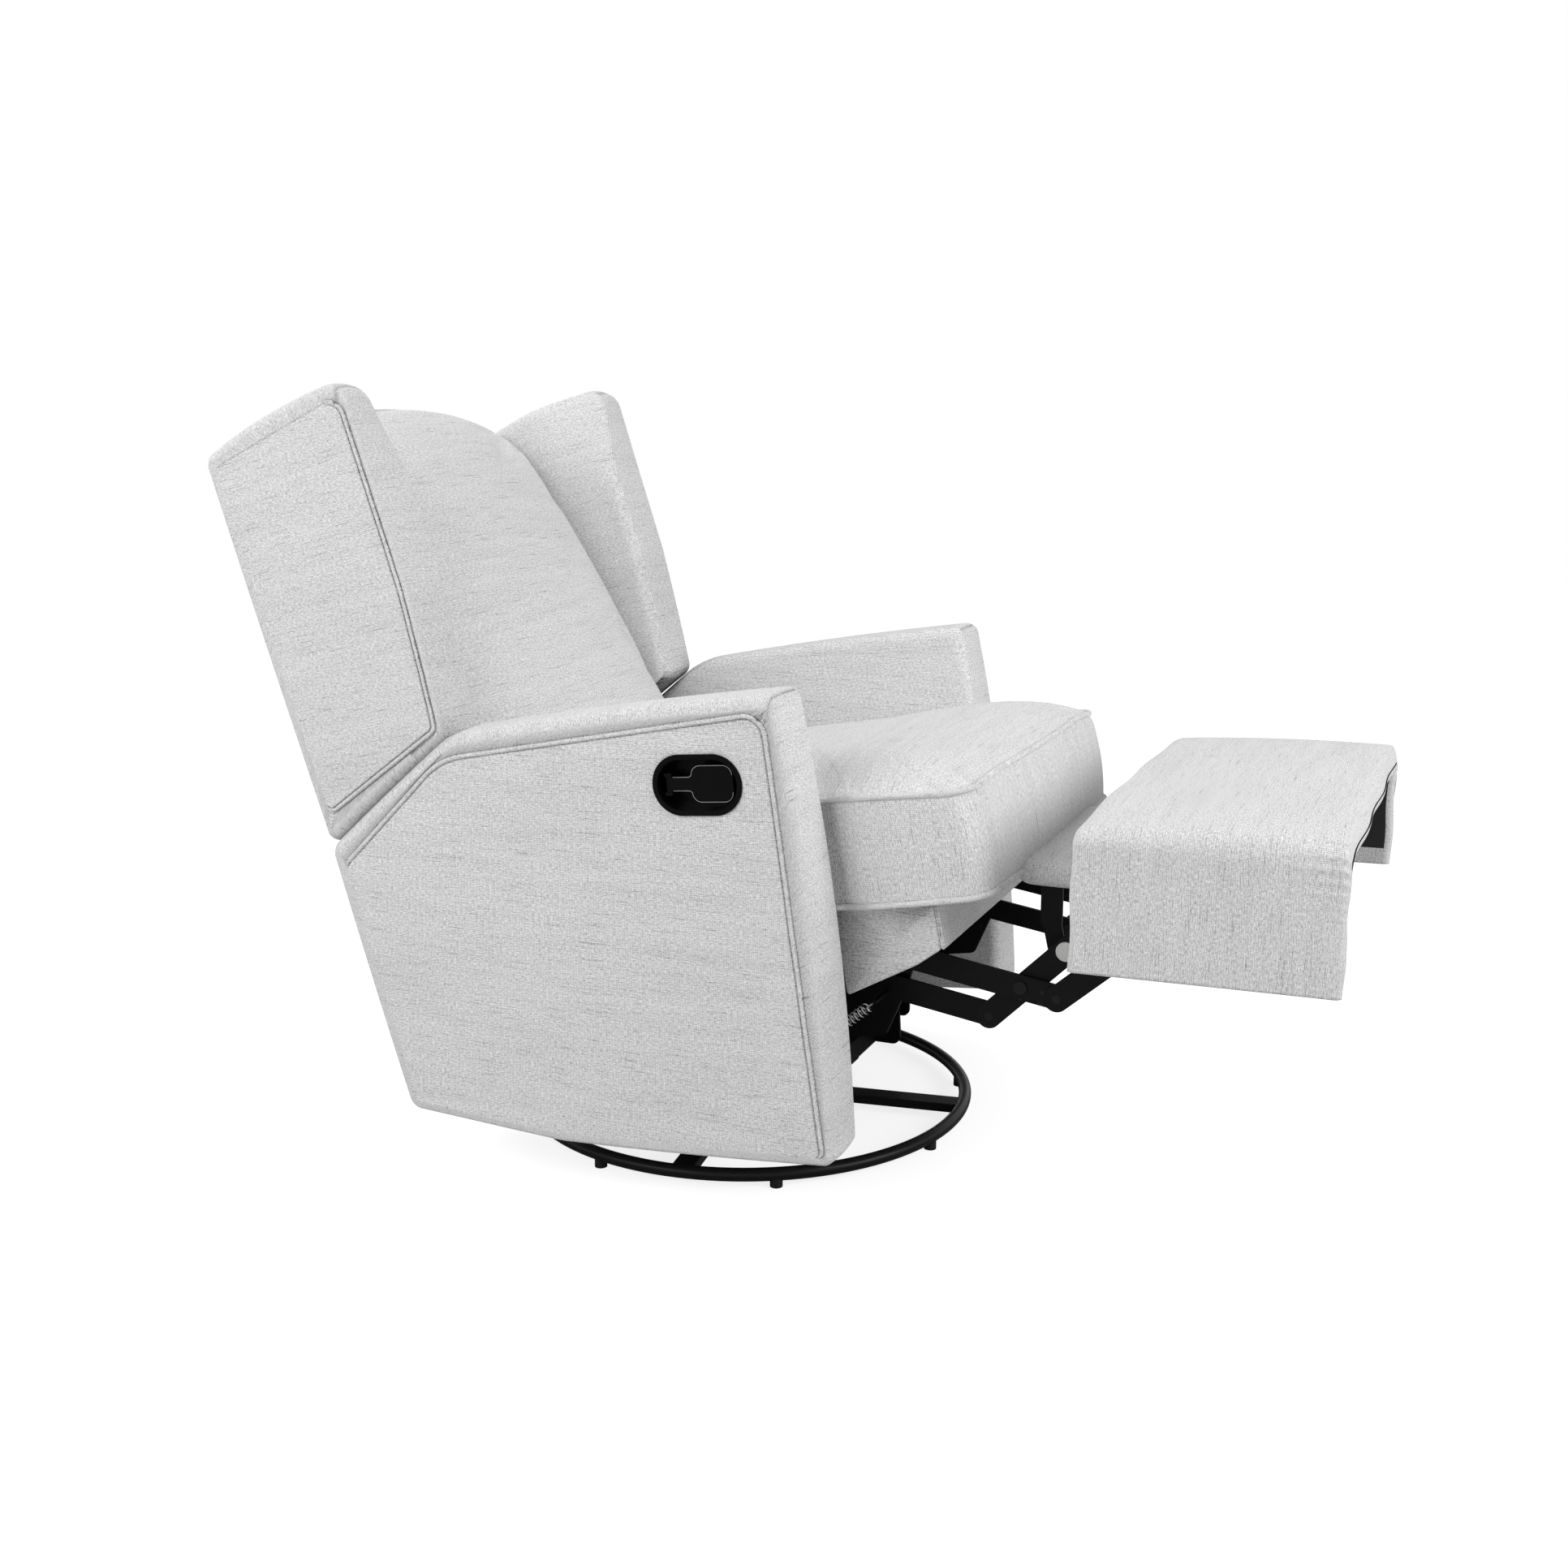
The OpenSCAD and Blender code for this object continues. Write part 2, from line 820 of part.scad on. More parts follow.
module arm_frame_right() {
    color("burlywood")
        on_right()
            arm_panel();
}

// Release handle in the right arm's outer face

handle_y = -111;
handle_tilt = 5;
bezel_lip = 4;
bezel_wall = 2;
bezel_proud = 2.5;
lever_t = 4;
lever_depth = 5;
lever_neck_h = 17;
lever_neck_end = 38;
paddle_len = 52;
paddle_front = -42;
paddle_h = 44;
paddle_round = 12;
lever_barrel_r = 4.5;
lever_pin_r = 2;

// Frame of the handle: x runs into the arm from its outer face
module at_handle() {
    translate([-body_w / 2, handle_y, handle_z])
        rotate([-handle_tilt, 0, 0])
            children();
}

module stadium(l, h) {
    bar_outline([-(l - h) / 2, 0], [(l - h) / 2, 0], h / 2);
}

module handle_bezel() {
    color("black")
        at_handle() {
            difference() {
                union() {
                    side(-bezel_proud, bezel_proud - seat_gap)
                        stadium(bezel_len, bezel_h);
                    side(-seat_gap, bezel_depth + bezel_wall + seat_gap)
                        stadium(bezel_len - 2 * bezel_lip, bezel_h - 2 * bezel_lip);
                }
                side(-bezel_proud - over, bezel_proud + over + bezel_depth)
                    stadium(
                        bezel_len - 2 * bezel_lip - 2 * bezel_wall,
                        bezel_h - 2 * bezel_lip - 2 * bezel_wall);
            }
            for (s = [-1, 1])
                translate([lever_axis_x, lever_neck_end, s * (lever_neck_h / 2 + seat_gap + bezel_wall)])
                    difference() {
                        translate([-lever_barrel_r, -lever_barrel_r, -bezel_wall])
                            cube([
                                bezel_depth - lever_axis_x + lever_barrel_r,
                                2 * lever_barrel_r,
                                2 * bezel_wall,
                            ]);
                        translate([0, 0, -bezel_wall - over])
                            cylinder(h = 2 * bezel_wall + 2 * over, r = lever_pin_r + pin_play);
                    }
        }
}
lever_axis_x = lever_depth + lever_t / 2;

module release_lever() {
    color("black")
        at_handle() {
            side(lever_depth, lever_t)
                union() {
                    polygon(rounded([
                        [paddle_front, -paddle_h / 2],
                        [paddle_front + paddle_len, -paddle_h / 2],
                        [paddle_front + paddle_len, paddle_h / 2],
                        [paddle_front, paddle_h / 2],
                    ], paddle_round));
                    translate([paddle_front + paddle_len - over, -lever_neck_h / 2])
                        square([lever_neck_end - paddle_front - paddle_len + over, lever_neck_h]);
                }
            translate([lever_axis_x, lever_neck_end, -lever_neck_h / 2])
                cylinder(h = lever_neck_h, r = lever_barrel_r);
            translate([lever_axis_x, lever_neck_end, -lever_neck_h / 2 - seat_gap - 2 * bezel_wall])
                cylinder(h = lever_neck_h + 2 * seat_gap + 4 * bezel_wall, r = lever_pin_r);
        }
}

// Assist springs between a lug on the plate and a lug on the lower link

spring_low = [-150, 142];
spring_lug_run = 45;
spring_lug_drop = 8;
spring_high = low_pivot + spring_lug_run * lower_dir - spring_lug_drop * [lower_dir.y, -lower_dir.x];
spring_x = layer_short + link_t + link_gap + curl_r + wire_r;
spring_lug_r = 3;
spring_rings = 8;
spring_lead = 16;

module assist_spring() {
    run = spring_high - spring_low;
    long = norm(run);
    coil_len = long - 2 * spring_lead;
    steps = curls * spring_rings;
    coil = [for (k = [0:steps])
        let (a = 360 * k / spring_rings)
        [curl_r * cos(a), curl_r * sin(a), spring_lead + coil_len * k / steps]];
    path = concat([[curl_r, 0, spring_lug_r + seat_gap]], coil, [[curl_r, 0, long - spring_lug_r - seat_gap]]);
    echo(least_gap_between_curls = coil_len / curls - 2 * wire_r);
    translate([spring_x, spring_low.x, spring_low.y])
        rotate([atan2(run.y, run.x) - 90, 0, 0])
            wire_tube(path, wire_r, 6);
}

module assist_spring_left() {
    color("silver")
        assist_spring();
}

module assist_spring_right() {
    color("silver")
        on_right()
            assist_spring();
}

// Back: padded rear panel, frame, wings, cushion and hinge brackets

shell_low = [411, 234];
shell_bend = [430, 426];
shell_top = [584, 876];
shell_half = wing_span / 2 - wing_t - seat_gap;
tail_inset = 11;
tail_half = seat_w / 2 - tail_inset;
tail_top = [0, -9];
shell_crest = 22;
shell_round = 8;
upper_dir = unit(shell_top - shell_bend);
upper_in = [-upper_dir.y, upper_dir.x];
tail_dir = unit(shell_bend - shell_low);
tail_in = [-tail_dir.y, tail_dir.x];
shell_front_low = shell_low + shell_t * tail_in;
shell_front_bend = shell_bend + shell_t * unit(upper_in + tail_in);
shell_front_top = shell_top + shell_t * upper_in;
stile_w = 30;
stile_t = 22;
stile_inset = 20.7;
frame_side = shell_half - stile_inset;
frame_rail_h = 60;
frame_depth = (shell_t - stile_t) / 2;
frame_tail = 14;

function shell_line(inset, gap) = [
    shell_low + (inset - gap) * tail_in + (frame_tail - gap) * tail_dir,
    shell_bend + (inset - gap) * unit(upper_in + tail_in),
    shell_top + (inset - gap) * upper_in - (frame_tail - gap) * upper_dir,
    shell_top + (inset + stile_t + gap) * upper_in - (frame_tail - gap) * upper_dir,
    shell_bend + (inset + stile_t + gap) * unit(upper_in + tail_in),
    shell_low + (inset + stile_t + gap) * tail_in + (frame_tail - gap) * tail_dir,
];

module stiles(gap) {
    on_both()
        side(frame_side - stile_w - gap, stile_w + 2 * gap)
            polygon(shell_line(frame_depth, gap));
}

rail_runs = [20, 250, 395];
module rails(gap) {
    for (r = rail_runs)
        side(-frame_side + stile_w + seat_gap - gap, 2 * (frame_side - stile_w - seat_gap + gap))
            polygon([
                shell_bend + (r - gap) * upper_dir + (frame_depth - gap) * upper_in,
                shell_bend + (r + frame_rail_h + gap) * upper_dir + (frame_depth - gap) * upper_in,
                shell_bend + (r + frame_rail_h + gap) * upper_dir + (frame_depth + stile_t + gap) * upper_in,
                shell_bend + (r - gap) * upper_dir + (frame_depth + stile_t + gap) * upper_in,
            ]);
}

module back_shell() {
    color("gainsboro")
        difference() {
            union() {
                side(-shell_half, 2 * shell_half)
                    polygon(rounded([
                        shell_low, shell_bend, shell_top,
                        shell_top + shell_crest * upper_dir + shell_crest * upper_in,
                        shell_front_top + shell_crest * upper_dir, shell_front_bend, shell_front_low,
                    ], shell_round));
                side(-tail_half, 2 * tail_half)
                    polygon(rounded([
                        shell_low, shell_bend + tail_top, shell_front_bend + tail_top, shell_front_low,
                    ], shell_round));
            }
            stiles(seat_gap);
            rails(seat_gap);
        }
}

module back_stiles() {
    color("burlywood")
        stiles(0);
}

module back_rails() {
    color("burlywood")
        rails(0);
}

// Wing: a padded slab with rounded edges
wing_from = [252, 422];
wing_shares = [[0, 0.2366], [0.3155, 1], [1, 0.8065], [0.5357, 0]];

module wing() {
    outline = scaled(wing_shares, [wing_len, wing_h], wing_from);
    m = len(outline);
    x0 = wing_span / 2 - wing_t;
    hull()
        for (i = [0:m - 1]) {
            u = unit(outline[(i + m - 1) % m] - outline[i]);
            w = unit(outline[(i + 1) % m] - outline[i]);
            half = acos(u * w) / 2;
            c = outline[i] + unit(u + w) * wing_round / sin(half);
            for (x = [x0 + wing_round, x0 + wing_t - wing_round])
                translate([x, c.x, c.y])
                    sphere(wing_round, $fn = 24);
        }
}

module wing_left() {
    color("gainsboro")
        wing();
}

module wing_right() {
    color("gainsboro")
        on_right()
            wing();
}

// Back cushion: rings up the back, flat behind and crowned in front
back_half = shell_half - 6;
back_edge_round = 30;
back_top_droop = 256;
back_low_z = 314;
back_h = 628;
back_depth = 192;
back_side_power = 6;
// Share of the height at which the rear panel bends
bend_share = (shell_front_bend.y - back_low_z) / back_h;
// Height share, depth share ahead of the rear panel, and crown share of each ring
back_ring_shares = [
    [0, 0.5833, 0], [0.0159, 0.6458, 0.1], [0.1401, 0.7292, 0.15], [bend_share, 0.7708, 0.2],
    [0.207, 0.8958, 0.3], [0.2357, 1, 0.6], [0.3153, 0.9583, 0.9], [0.4427, 0.8646, 1],
    [0.6019, 0.7292, 1], [0.7452, 0.5938, 0.9], [0.8567, 0.4583, 0.75], [0.9363, 0.3229, 0.6],
    [0.9809, 0.1979, 0.45], [1, 0.0938, 0.35],
];
back_points = 9;

// Where the front face of the rear panel lies at a height
function panel_front(z) = z < shell_front_bend.y
    ? shell_front_low.x + (z - shell_front_low.y) * (shell_front_bend.x - shell_front_low.x)
        / (shell_front_bend.y - shell_front_low.y)
    : shell_front_bend.x + (z - shell_front_bend.y) * (shell_front_top.x - shell_front_bend.x)
        / (shell_front_top.y - shell_front_bend.y);

function back_ring(z, depth, share) =
    let (
        r = min(back_edge_round, depth / 2),
        top = max(0, (z - shell_top.y) / (shell_front_top.y - shell_bend.y))
    )
    [for (face = [0, 1]) for (i = [0:back_points - 1])
        let (
            t = i / (back_points - 1),
            // Front from -x to +x, then rear from +x to -x
            x = face == 0 ? 2 * t - 1 : 1 - 2 * t,
            low = z - back_top_droop * top * x * x,
            rear = panel_front(low) - 2 * seat_gap,
            edge = 1 - pow(abs(x), back_side_power),
            bow = 1 - x * x
        )
        [x * back_half, face == 0 ? rear - depth + r * (1 - edge) - back_crown * share * bow : rear, low]];

module back_cushion() {
    color("gainsboro")
        skin([for (s = back_ring_shares)
            back_ring(back_low_z + s[0] * back_h, s[1] * back_depth, s[2])]);
}

bracket_flange_w = 40;
bracket_flange_t = 4;
bracket_low = 10;
bracket_high = 74;

module back_bracket() {
    foot = shell_front_low + bracket_low * tail_dir;
    head = shell_front_low + bracket_high * tail_dir;
    face = seat_gap * tail_in;
    side(layer_low, link_t)
        difference() {
            union() {
                translate(recline_pivot)
                    circle(recline_lobe_r);
                polygon([
                    recline_pivot - [0, recline_lobe_r],
                    foot + face,
                    head + face,
                    recline_pivot + [0, recline_lobe_r],
                ]);
            }
            translate(recline_pivot)
                circle(pin_r + pin_play);
        }
    side(layer_low, bracket_flange_w)
        polygon([
            foot + face,
            head + face,
            head + face + bracket_flange_t * tail_in,
            foot + face + bracket_flange_t * tail_in,
        ]);
}

module back_bracket_left() {
    color("black")
        back_bracket();
}

module back_bracket_right() {
    color("black")
        on_right()
            back_bracket();
}

// Footrest linkage

module footrest_lower_links() {
    color("black")
        on_both() {
            side(layer_low, link_t)
                link_plate(low_pivot, knee, link_w / 2, pin_r + pin_play);
            pin_x(spring_high, layer_low + link_t, spring_x + 2 * curl_r, spring_lug_r);
        }
}

module footrest_upper_links() {
    color("black")
        on_both()
            side(layer_up, link_t)
                difference() {
                    bar_outline(up_pivot, short_pivot, link_w / 2);
                    for (p = [up_pivot, up_knee, short_pivot])
                        translate(p)
                            circle(pin_r + pin_play);
                }
}

// The long link joins both knees and runs up to the footrest bracket
module footrest_long_links() {
    color("black")
        on_both()
            side(layer_long, link_t)
                difference() {
                    bar_outline(knee, bracket_pivot, link_w / 2);
                    for (p = [knee, up_knee, bracket_pivot])
                        translate(p)
                            circle(pin_r + pin_play);
                    translate(rod_at)
                        circle(rod_r + pin_play);
                }
}
rod_run = 103;
rod_at = knee + rod_run * long_dir;
rod_r = 6;

module long_link_pins() {
    color("silver")
        on_both() {
            // Knee, through the lower link
            pin_x(knee, layer_low - seat_gap, layer_long + link_t, pin_r);
            pin_x(knee, layer_low - seat_gap - head_t, layer_low - seat_gap, head_r);
            // Upper knee and bracket pivot, through the next layer out
            for (p = [up_knee, bracket_pivot]) {
                pin_x(p, layer_long, layer_up + link_t + seat_gap, pin_r);
                pin_x(p, layer_up + link_t + seat_gap, layer_up + link_t + seat_gap + head_t, head_r);
            }
        }
}

button_r = 11.5;
button_t = 2.4;
button_run = 128;

module link_buttons() {
    color("silver")
        on_both()
            pin_x(knee + button_run * long_dir, layer_long + link_t,
                layer_long + link_t + button_t, button_r);
}

module footrest_cross_rod() {
    color("black")
        pin_x(rod_at, -layer_long - link_t, layer_long + link_t, rod_r);
}

mid_pad_at = [-474.5, 405];
mid_pad_crown = 6;
mid_pad_round = 10;
strut_t = 4;
strut_w = 26;
strut_plate = 40;
strut_elbow = [-465, 352];
strut_foot_r = 11;
mid_pad_side_shares = [[0, 0.94], [0.15, 0.99], [0.5, 1], [0.85, 0.98]];
mid_pad_crown_shares = [0.85, 0.6, 0.3];

// Frame of the middle pad, which lies level when the footrest is out
module at_mid_pad() {
    translate([0, mid_pad_at.x, mid_pad_at.y - mid_pad_t / 2])
        children();
}

module mid_ottoman() {
    plan = rounded([
        [-mid_pad_w / 2, -mid_pad_len / 2], [mid_pad_w / 2, -mid_pad_len / 2],
        [mid_pad_w / 2, mid_pad_len / 2], [-mid_pad_w / 2, mid_pad_len / 2]], mid_pad_round, 4);
    rings = concat(
        [for (s = mid_pad_side_shares) [for (p = plan) [p.x * s[1], p.y * s[1], s[0] * mid_pad_t]]],
        [for (s = mid_pad_crown_shares) [for (p = plan)
            [p.x * s, p.y * s, mid_pad_t - mid_pad_crown * s * s]]]
    );
    color("gainsboro")
        at_mid_pad()
            skin(rings);
}

// Struts that rise from the rod, turn at an elbow and end in a plate under the pad
module mid_ottoman_struts() {
    under = mid_pad_at.y - mid_pad_t / 2 - seat_gap;
    color("black")
        on_both() {
            side(strut_x, strut_t)
                difference() {
                    union() {
                        bar_outline(rod_at, strut_elbow, strut_foot_r);
                        translate(strut_elbow)
                            circle(strut_w / 2);
                        translate(strut_elbow - [strut_w / 2, 0])
                            square([strut_w, under - strut_elbow.y]);
                    }
                    translate(rod_at)
                        circle(rod_r + pin_play);
                }
            translate([strut_x + strut_t - strut_plate, strut_elbow.x - strut_w / 2, under - strut_t])
                cube([strut_plate, strut_w, strut_t]);
        }
}

module footrest_short_links() {
    color("black")
        on_both()
            side(layer_short, link_t)
                difference() {
                    bar_outline(short_pivot, bracket_far, link_w / 2);
                    translate(short_pivot)
                        circle(pin_r + pin_play);
                }
}

module short_link_pins() {
    color("silver")
        on_both() {
            // Through the upper link and headed inside it
            pin_x(short_pivot, layer_up - seat_gap, layer_short + link_t, pin_r);
            pin_x(short_pivot, layer_up - seat_gap - head_t, layer_up - seat_gap, head_r);
        }
}

rest_top = 497;
rest_rear = -521;
rest_front = rest_rear - rest_len;
board_top = rest_top - rest_pad_t - seat_gap;
board_low = board_top - rest_board_t;
board_margin = 8;
board_half = rest_w / 2 - flap_t - board_margin;
bracket_leg = 30;
bracket_leg_t = 3.5;
bracket_rear_y = -568;
bracket_front_y = -720;
bracket_top = board_low - seat_gap;

module footrest_bracket() {
    side(layer_up, link_t)
        difference() {
            union() {
                bar_outline(bracket_pivot, bracket_far, link_w / 2);
                polygon([
                    [bracket_rear_y, bracket_top],
                    [bracket_front_y, bracket_top],
                    [bracket_front_y, bracket_top - link_w / 2],
                    bracket_far - [0, link_w / 4],
                    bracket_pivot - [0, link_w / 4],
                    [bracket_rear_y, bracket_top - link_w / 2],
                ]);
            }
            translate(bracket_pivot)
                circle(pin_r + pin_play);
        }
    translate([layer_up, bracket_front_y, bracket_top - bracket_leg_t])
        cube([bracket_leg, bracket_rear_y - bracket_front_y, bracket_leg_t]);
    pin_x(bracket_far, layer_up + link_t, layer_short - seat_gap, pin_r);
}

module footrest_bracket_left() {
    color("black")
        footrest_bracket();
}

module footrest_bracket_right() {
    color("black")
        on_right()
            footrest_bracket();
}

module footrest_board() {
    color("black")
        translate([-board_half, rest_front + board_margin, board_low])
            cube([2 * board_half, rest_len - 2 * board_margin, rest_board_t]);
}

cover_round = 16;
cover_bow = 4;
cover_bow_steps = 8;

// Section of the cover across X: a bowed pad with a flap down each end
module cover_section() {
    w = rest_w / 2;
    low = rest_top - flap_h;
    crest = rest_top - cover_bow;
    arc = [for (i = [0:cover_bow_steps])
        let (t = 2 * i / cover_bow_steps - 1)
        [-(w - cover_round) * t, rest_top - cover_bow * t * t]];
    polygon(concat(
        [[-w, low], [-w + flap_t, low],
         [-w + flap_t, rest_top - rest_pad_t], [w - flap_t, rest_top - rest_pad_t],
         [w - flap_t, low], [w, low]],
        corner_arc([w, crest], [w, low], [0, crest], cover_round, 5),
        arc,
        corner_arc([-w, crest], [0, crest], [-w, low], cover_round, 5)
    ));
}

module footrest_cover() {
    color("gainsboro")
        translate([0, rest_rear, 0])
            rotate([90, 0, 0])
                linear_extrude(rest_len)
                    cover_section();
}

base_ring();
base_cross_bars();
base_feet();
swivel_lower_plate();
swivel_bearing();
swivel_bolt();
swivel_upper_plate();
glide_channels();
glide_stanchion_right();
glide_stanchion_left();
stanchion_pins();
front_glide_links();
rear_glide_links();
glide_pins();
mechanism_plate_right();
mechanism_plate_left();
front_cross_tube();
rear_cross_tube();
link_pivot_pins();
seat_frame();
seat_springs();
seat_cushion();
seat_front_band();
arm_right();
arm_left();
arm_frame_right();
arm_frame_left();
handle_bezel();
release_lever();
assist_spring_right();
assist_spring_left();
back_shell();
back_stiles();
back_rails();
back_cushion();
wing_right();
wing_left();
back_bracket_right();
back_bracket_left();
footrest_lower_links();
footrest_upper_links();
footrest_long_links();
long_link_pins();
link_buttons();
footrest_cross_rod();
mid_ottoman_struts();
mid_ottoman();
footrest_short_links();
short_link_pins();
footrest_bracket_right();
footrest_bracket_left();
footrest_board();
footrest_cover();
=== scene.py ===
import bpy
import bmesh
import math
import numpy as np
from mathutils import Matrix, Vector


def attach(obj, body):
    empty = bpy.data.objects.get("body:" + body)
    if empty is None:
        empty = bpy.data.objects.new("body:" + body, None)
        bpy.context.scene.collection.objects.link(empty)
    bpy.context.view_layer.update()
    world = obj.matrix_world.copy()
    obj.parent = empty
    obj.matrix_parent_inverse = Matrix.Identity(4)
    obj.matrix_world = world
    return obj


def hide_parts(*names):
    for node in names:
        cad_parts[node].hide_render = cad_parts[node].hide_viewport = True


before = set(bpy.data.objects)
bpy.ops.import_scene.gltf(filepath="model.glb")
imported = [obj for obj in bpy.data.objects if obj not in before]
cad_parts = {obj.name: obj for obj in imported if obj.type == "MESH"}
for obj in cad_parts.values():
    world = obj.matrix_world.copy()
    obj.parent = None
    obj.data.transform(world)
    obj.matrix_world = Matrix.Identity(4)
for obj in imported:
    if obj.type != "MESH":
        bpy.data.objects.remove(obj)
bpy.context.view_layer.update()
print("frame loaded")


# Mesh tools

# Pairs of directions in which the flat weave of a piece is measured
seenFromSide, seenFromAbove, seenFromFront = np.eye(3)[[[1, 2], [0, 1], [0, 2]]]


def unit(vectors):
    return vectors / np.linalg.norm(vectors, axis=-1, keepdims=True)


def smoothSteps(x, low, high):
    # 0 below low, 1 above high, and 3 t^2 - 2 t^3 between them
    t = np.clip((np.asarray(x, dtype=float) - low) / (high - low), 0, 1)
    return t * t * (3 - 2 * t)


def gentleWaves(a, b, size, seed):
    # Sum of six sine waves in random directions: the even unevenness of stuffed cloth
    rng = np.random.default_rng(seed)
    total = np.zeros_like(a)
    for length in (0.31, 0.23, 0.17, 0.12, 0.085, 0.06):
        turn, phase = rng.uniform(0, 2 * np.pi, 2)
        total += length * np.sin(2 * np.pi * (a * np.cos(turn) + b * np.sin(turn)) / length + phase)
    return size * total / 0.6


def runLengths(points, closed=False):
    # Distance of each point from the first along the line, and all the way round when it is closed
    if closed:
        points = np.concatenate([points, points[:1]])
    return np.concatenate([[0], np.cumsum(np.linalg.norm(np.diff(points, axis=0), axis=1))])


def gridFaces(rows, count, closed=False):
    # Quads between neighbouring rings, with the row and the place of each quad's first corner
    j, i = np.meshgrid(np.arange(rows if closed else rows - 1), np.arange(count), indexing="ij")
    j, i = j.ravel(), i.ravel()
    ahead, after = (j + 1) % rows, (i + 1) % count
    return j, i, np.stack([j * count + i, j * count + after, ahead * count + after, ahead * count + i], -1)


def gridValues(j, i, byRow, byPlace):
    # One (row value, place value) for each corner of those quads
    u = np.stack([byRow[j], byRow[j], byRow[j + 1], byRow[j + 1]], -1)
    v = np.stack([byPlace[i], byPlace[i + 1], byPlace[i + 1], byPlace[i]], -1)
    return np.stack([u, v], -1)


def addObject(name, data, place=(0, 0, 0), turn=(0, 0, 0)):
    thing = bpy.data.objects.new(name, data)
    thing.location = place
    thing.rotation_euler = turn
    bpy.context.scene.collection.objects.link(thing)
    return thing


noTriangles, noFans = np.zeros((0, 3), dtype=int), np.zeros((0, 3, 2))


def meshObject(name, points, quads, triangles, weave, stitch=None, paintedShade=None):
    # Weave and stitch hold one (u, v) per face corner, as one array for the quads and one for the triangles.
    # The faces are turned over when the volume that they enclose comes out negative.
    stitch = stitch or [np.ones_like(part) for part in weave]
    p, q = points[triangles], points[quads]
    volume = sum(np.einsum("ij,ij->", face[:, 0], np.cross(face[:, k], face[:, k + 1]))
                 for face, k in ((p, 1), (q, 1), (q, 2)))
    if volume < 0:
        quads, triangles = quads[:, ::-1], triangles[:, ::-1]
        weave, stitch = ([part[:, ::-1] for part in layer] for layer in (weave, stitch))
    corners = np.concatenate([quads.ravel(), triangles.ravel()]).astype(np.int32)
    starts = np.concatenate([np.arange(len(quads)) * 4, len(quads) * 4 + np.arange(len(triangles)) * 3])
    mesh = bpy.data.meshes.new(name)
    mesh.vertices.add(len(points))
    mesh.vertices.foreach_set("co", points.astype(np.float32).ravel())
    mesh.loops.add(len(corners))
    mesh.loops.foreach_set("vertex_index", corners)
    mesh.polygons.add(len(starts))
    mesh.polygons.foreach_set("loop_start", starts.astype(np.int32))
    mesh.update(calc_edges=True)
    for label, layer in (("weave", weave), ("stitch", stitch)):
        values = np.concatenate([part.reshape(-1, 2) for part in layer]).astype(np.float32)
        mesh.uv_layers.new(name=label).data.foreach_set("uv", values.ravel())
    # Each point stores its painted shade, which darkens the cloth in the material
    paintedShade = np.zeros(len(points)) if paintedShade is None else paintedShade
    mesh.attributes.new("paintedShade", "FLOAT", "POINT").data.foreach_set("value", paintedShade.astype(np.float32))
    mesh.polygons.foreach_set("use_smooth", np.ones(len(starts), dtype=bool))
    mesh.update()
    return addObject(name, mesh)


def ringPiece(name, rings, axes, along=None, across=None, stripRows=None, seam=None, paintedShade=None, ends=None):
    # Closed rings in a row, each end closed by a fan round its middle or round the point given for it.
    # The weave lies flat along the two axes, and on the strip rows it follows the distances across and along.
    m, n, _ = rings.shape
    tips = rings.mean(axis=1)[[0, -1]] if ends is None else np.asarray(ends)
    points = np.concatenate([rings.reshape(-1, 3), tips])
    j, i, quads = gridFaces(m, n)
    k = np.arange(n)
    after, lastRow = (k + 1) % n, (m - 1) * n
    triangles = np.concatenate([np.stack([np.full(n, m * n), after, k], -1),
                                np.stack([np.full(n, m * n + 1), lastRow + k, lastRow + after], -1)])
    flat = points @ np.asarray(axes, dtype=float).T
    weave = [flat[quads], flat[triangles]]
    stitch = None
    if stripRows is not None:
        rows = np.asarray(stripRows)[j]
        weave[0][rows] = gridValues(j, i, across, along)[rows]
    if seam is not None:
        sides = np.concatenate([seam.ravel(), [1.0, 1.0]])
        lengths = gridValues(j, i, across, along)[..., 1]
        stitch = [np.stack([lengths, sides[quads]], -1),
                  np.stack([np.zeros(triangles.shape), sides[triangles]], -1)]
    # Painted shade per point, with none at the two end points
    if paintedShade is not None:
        paintedShade = np.concatenate([paintedShade.ravel(), [0.0, 0.0]])
    return meshObject(name, points, quads, triangles, weave, stitch, paintedShade)


def liftedRings(rows, heights):
    # Plan outlines, each at its own height
    return np.concatenate([rows, np.broadcast_to(heights[:, None, None], (*np.shape(rows)[:2], 1))], -1)


def tubePiece(name, path, radius, sides, reference, closed=False):
    # A round section of the given radius carried along a path. The path never runs along the reference.
    path = np.asarray(path, dtype=float)
    ahead = unit(np.roll(path, -1, 0) - np.roll(path, 1, 0) if closed else np.gradient(path, axis=0))
    side = unit(np.cross(ahead, reference))
    up = np.cross(side, ahead)
    a = (2 * np.pi * np.arange(sides) / sides)[None, :, None]
    rings = path[:, None] + radius * (np.cos(a) * side[:, None] + np.sin(a) * up[:, None])
    around, lengths, m = np.arange(sides + 1) * radius * 0.8, runLengths(path), len(path)
    if not closed:
        return ringPiece(name, rings, seenFromSide, around, lengths, np.ones(m - 1, dtype=bool))
    j, i, quads = gridFaces(m, sides, closed=True)
    weave = gridValues(j, i, np.arange(m + 1) * lengths[-1] / (m - 1), around)
    return meshObject(name, rings.reshape(-1, 3), quads, noTriangles, [weave, noFans])


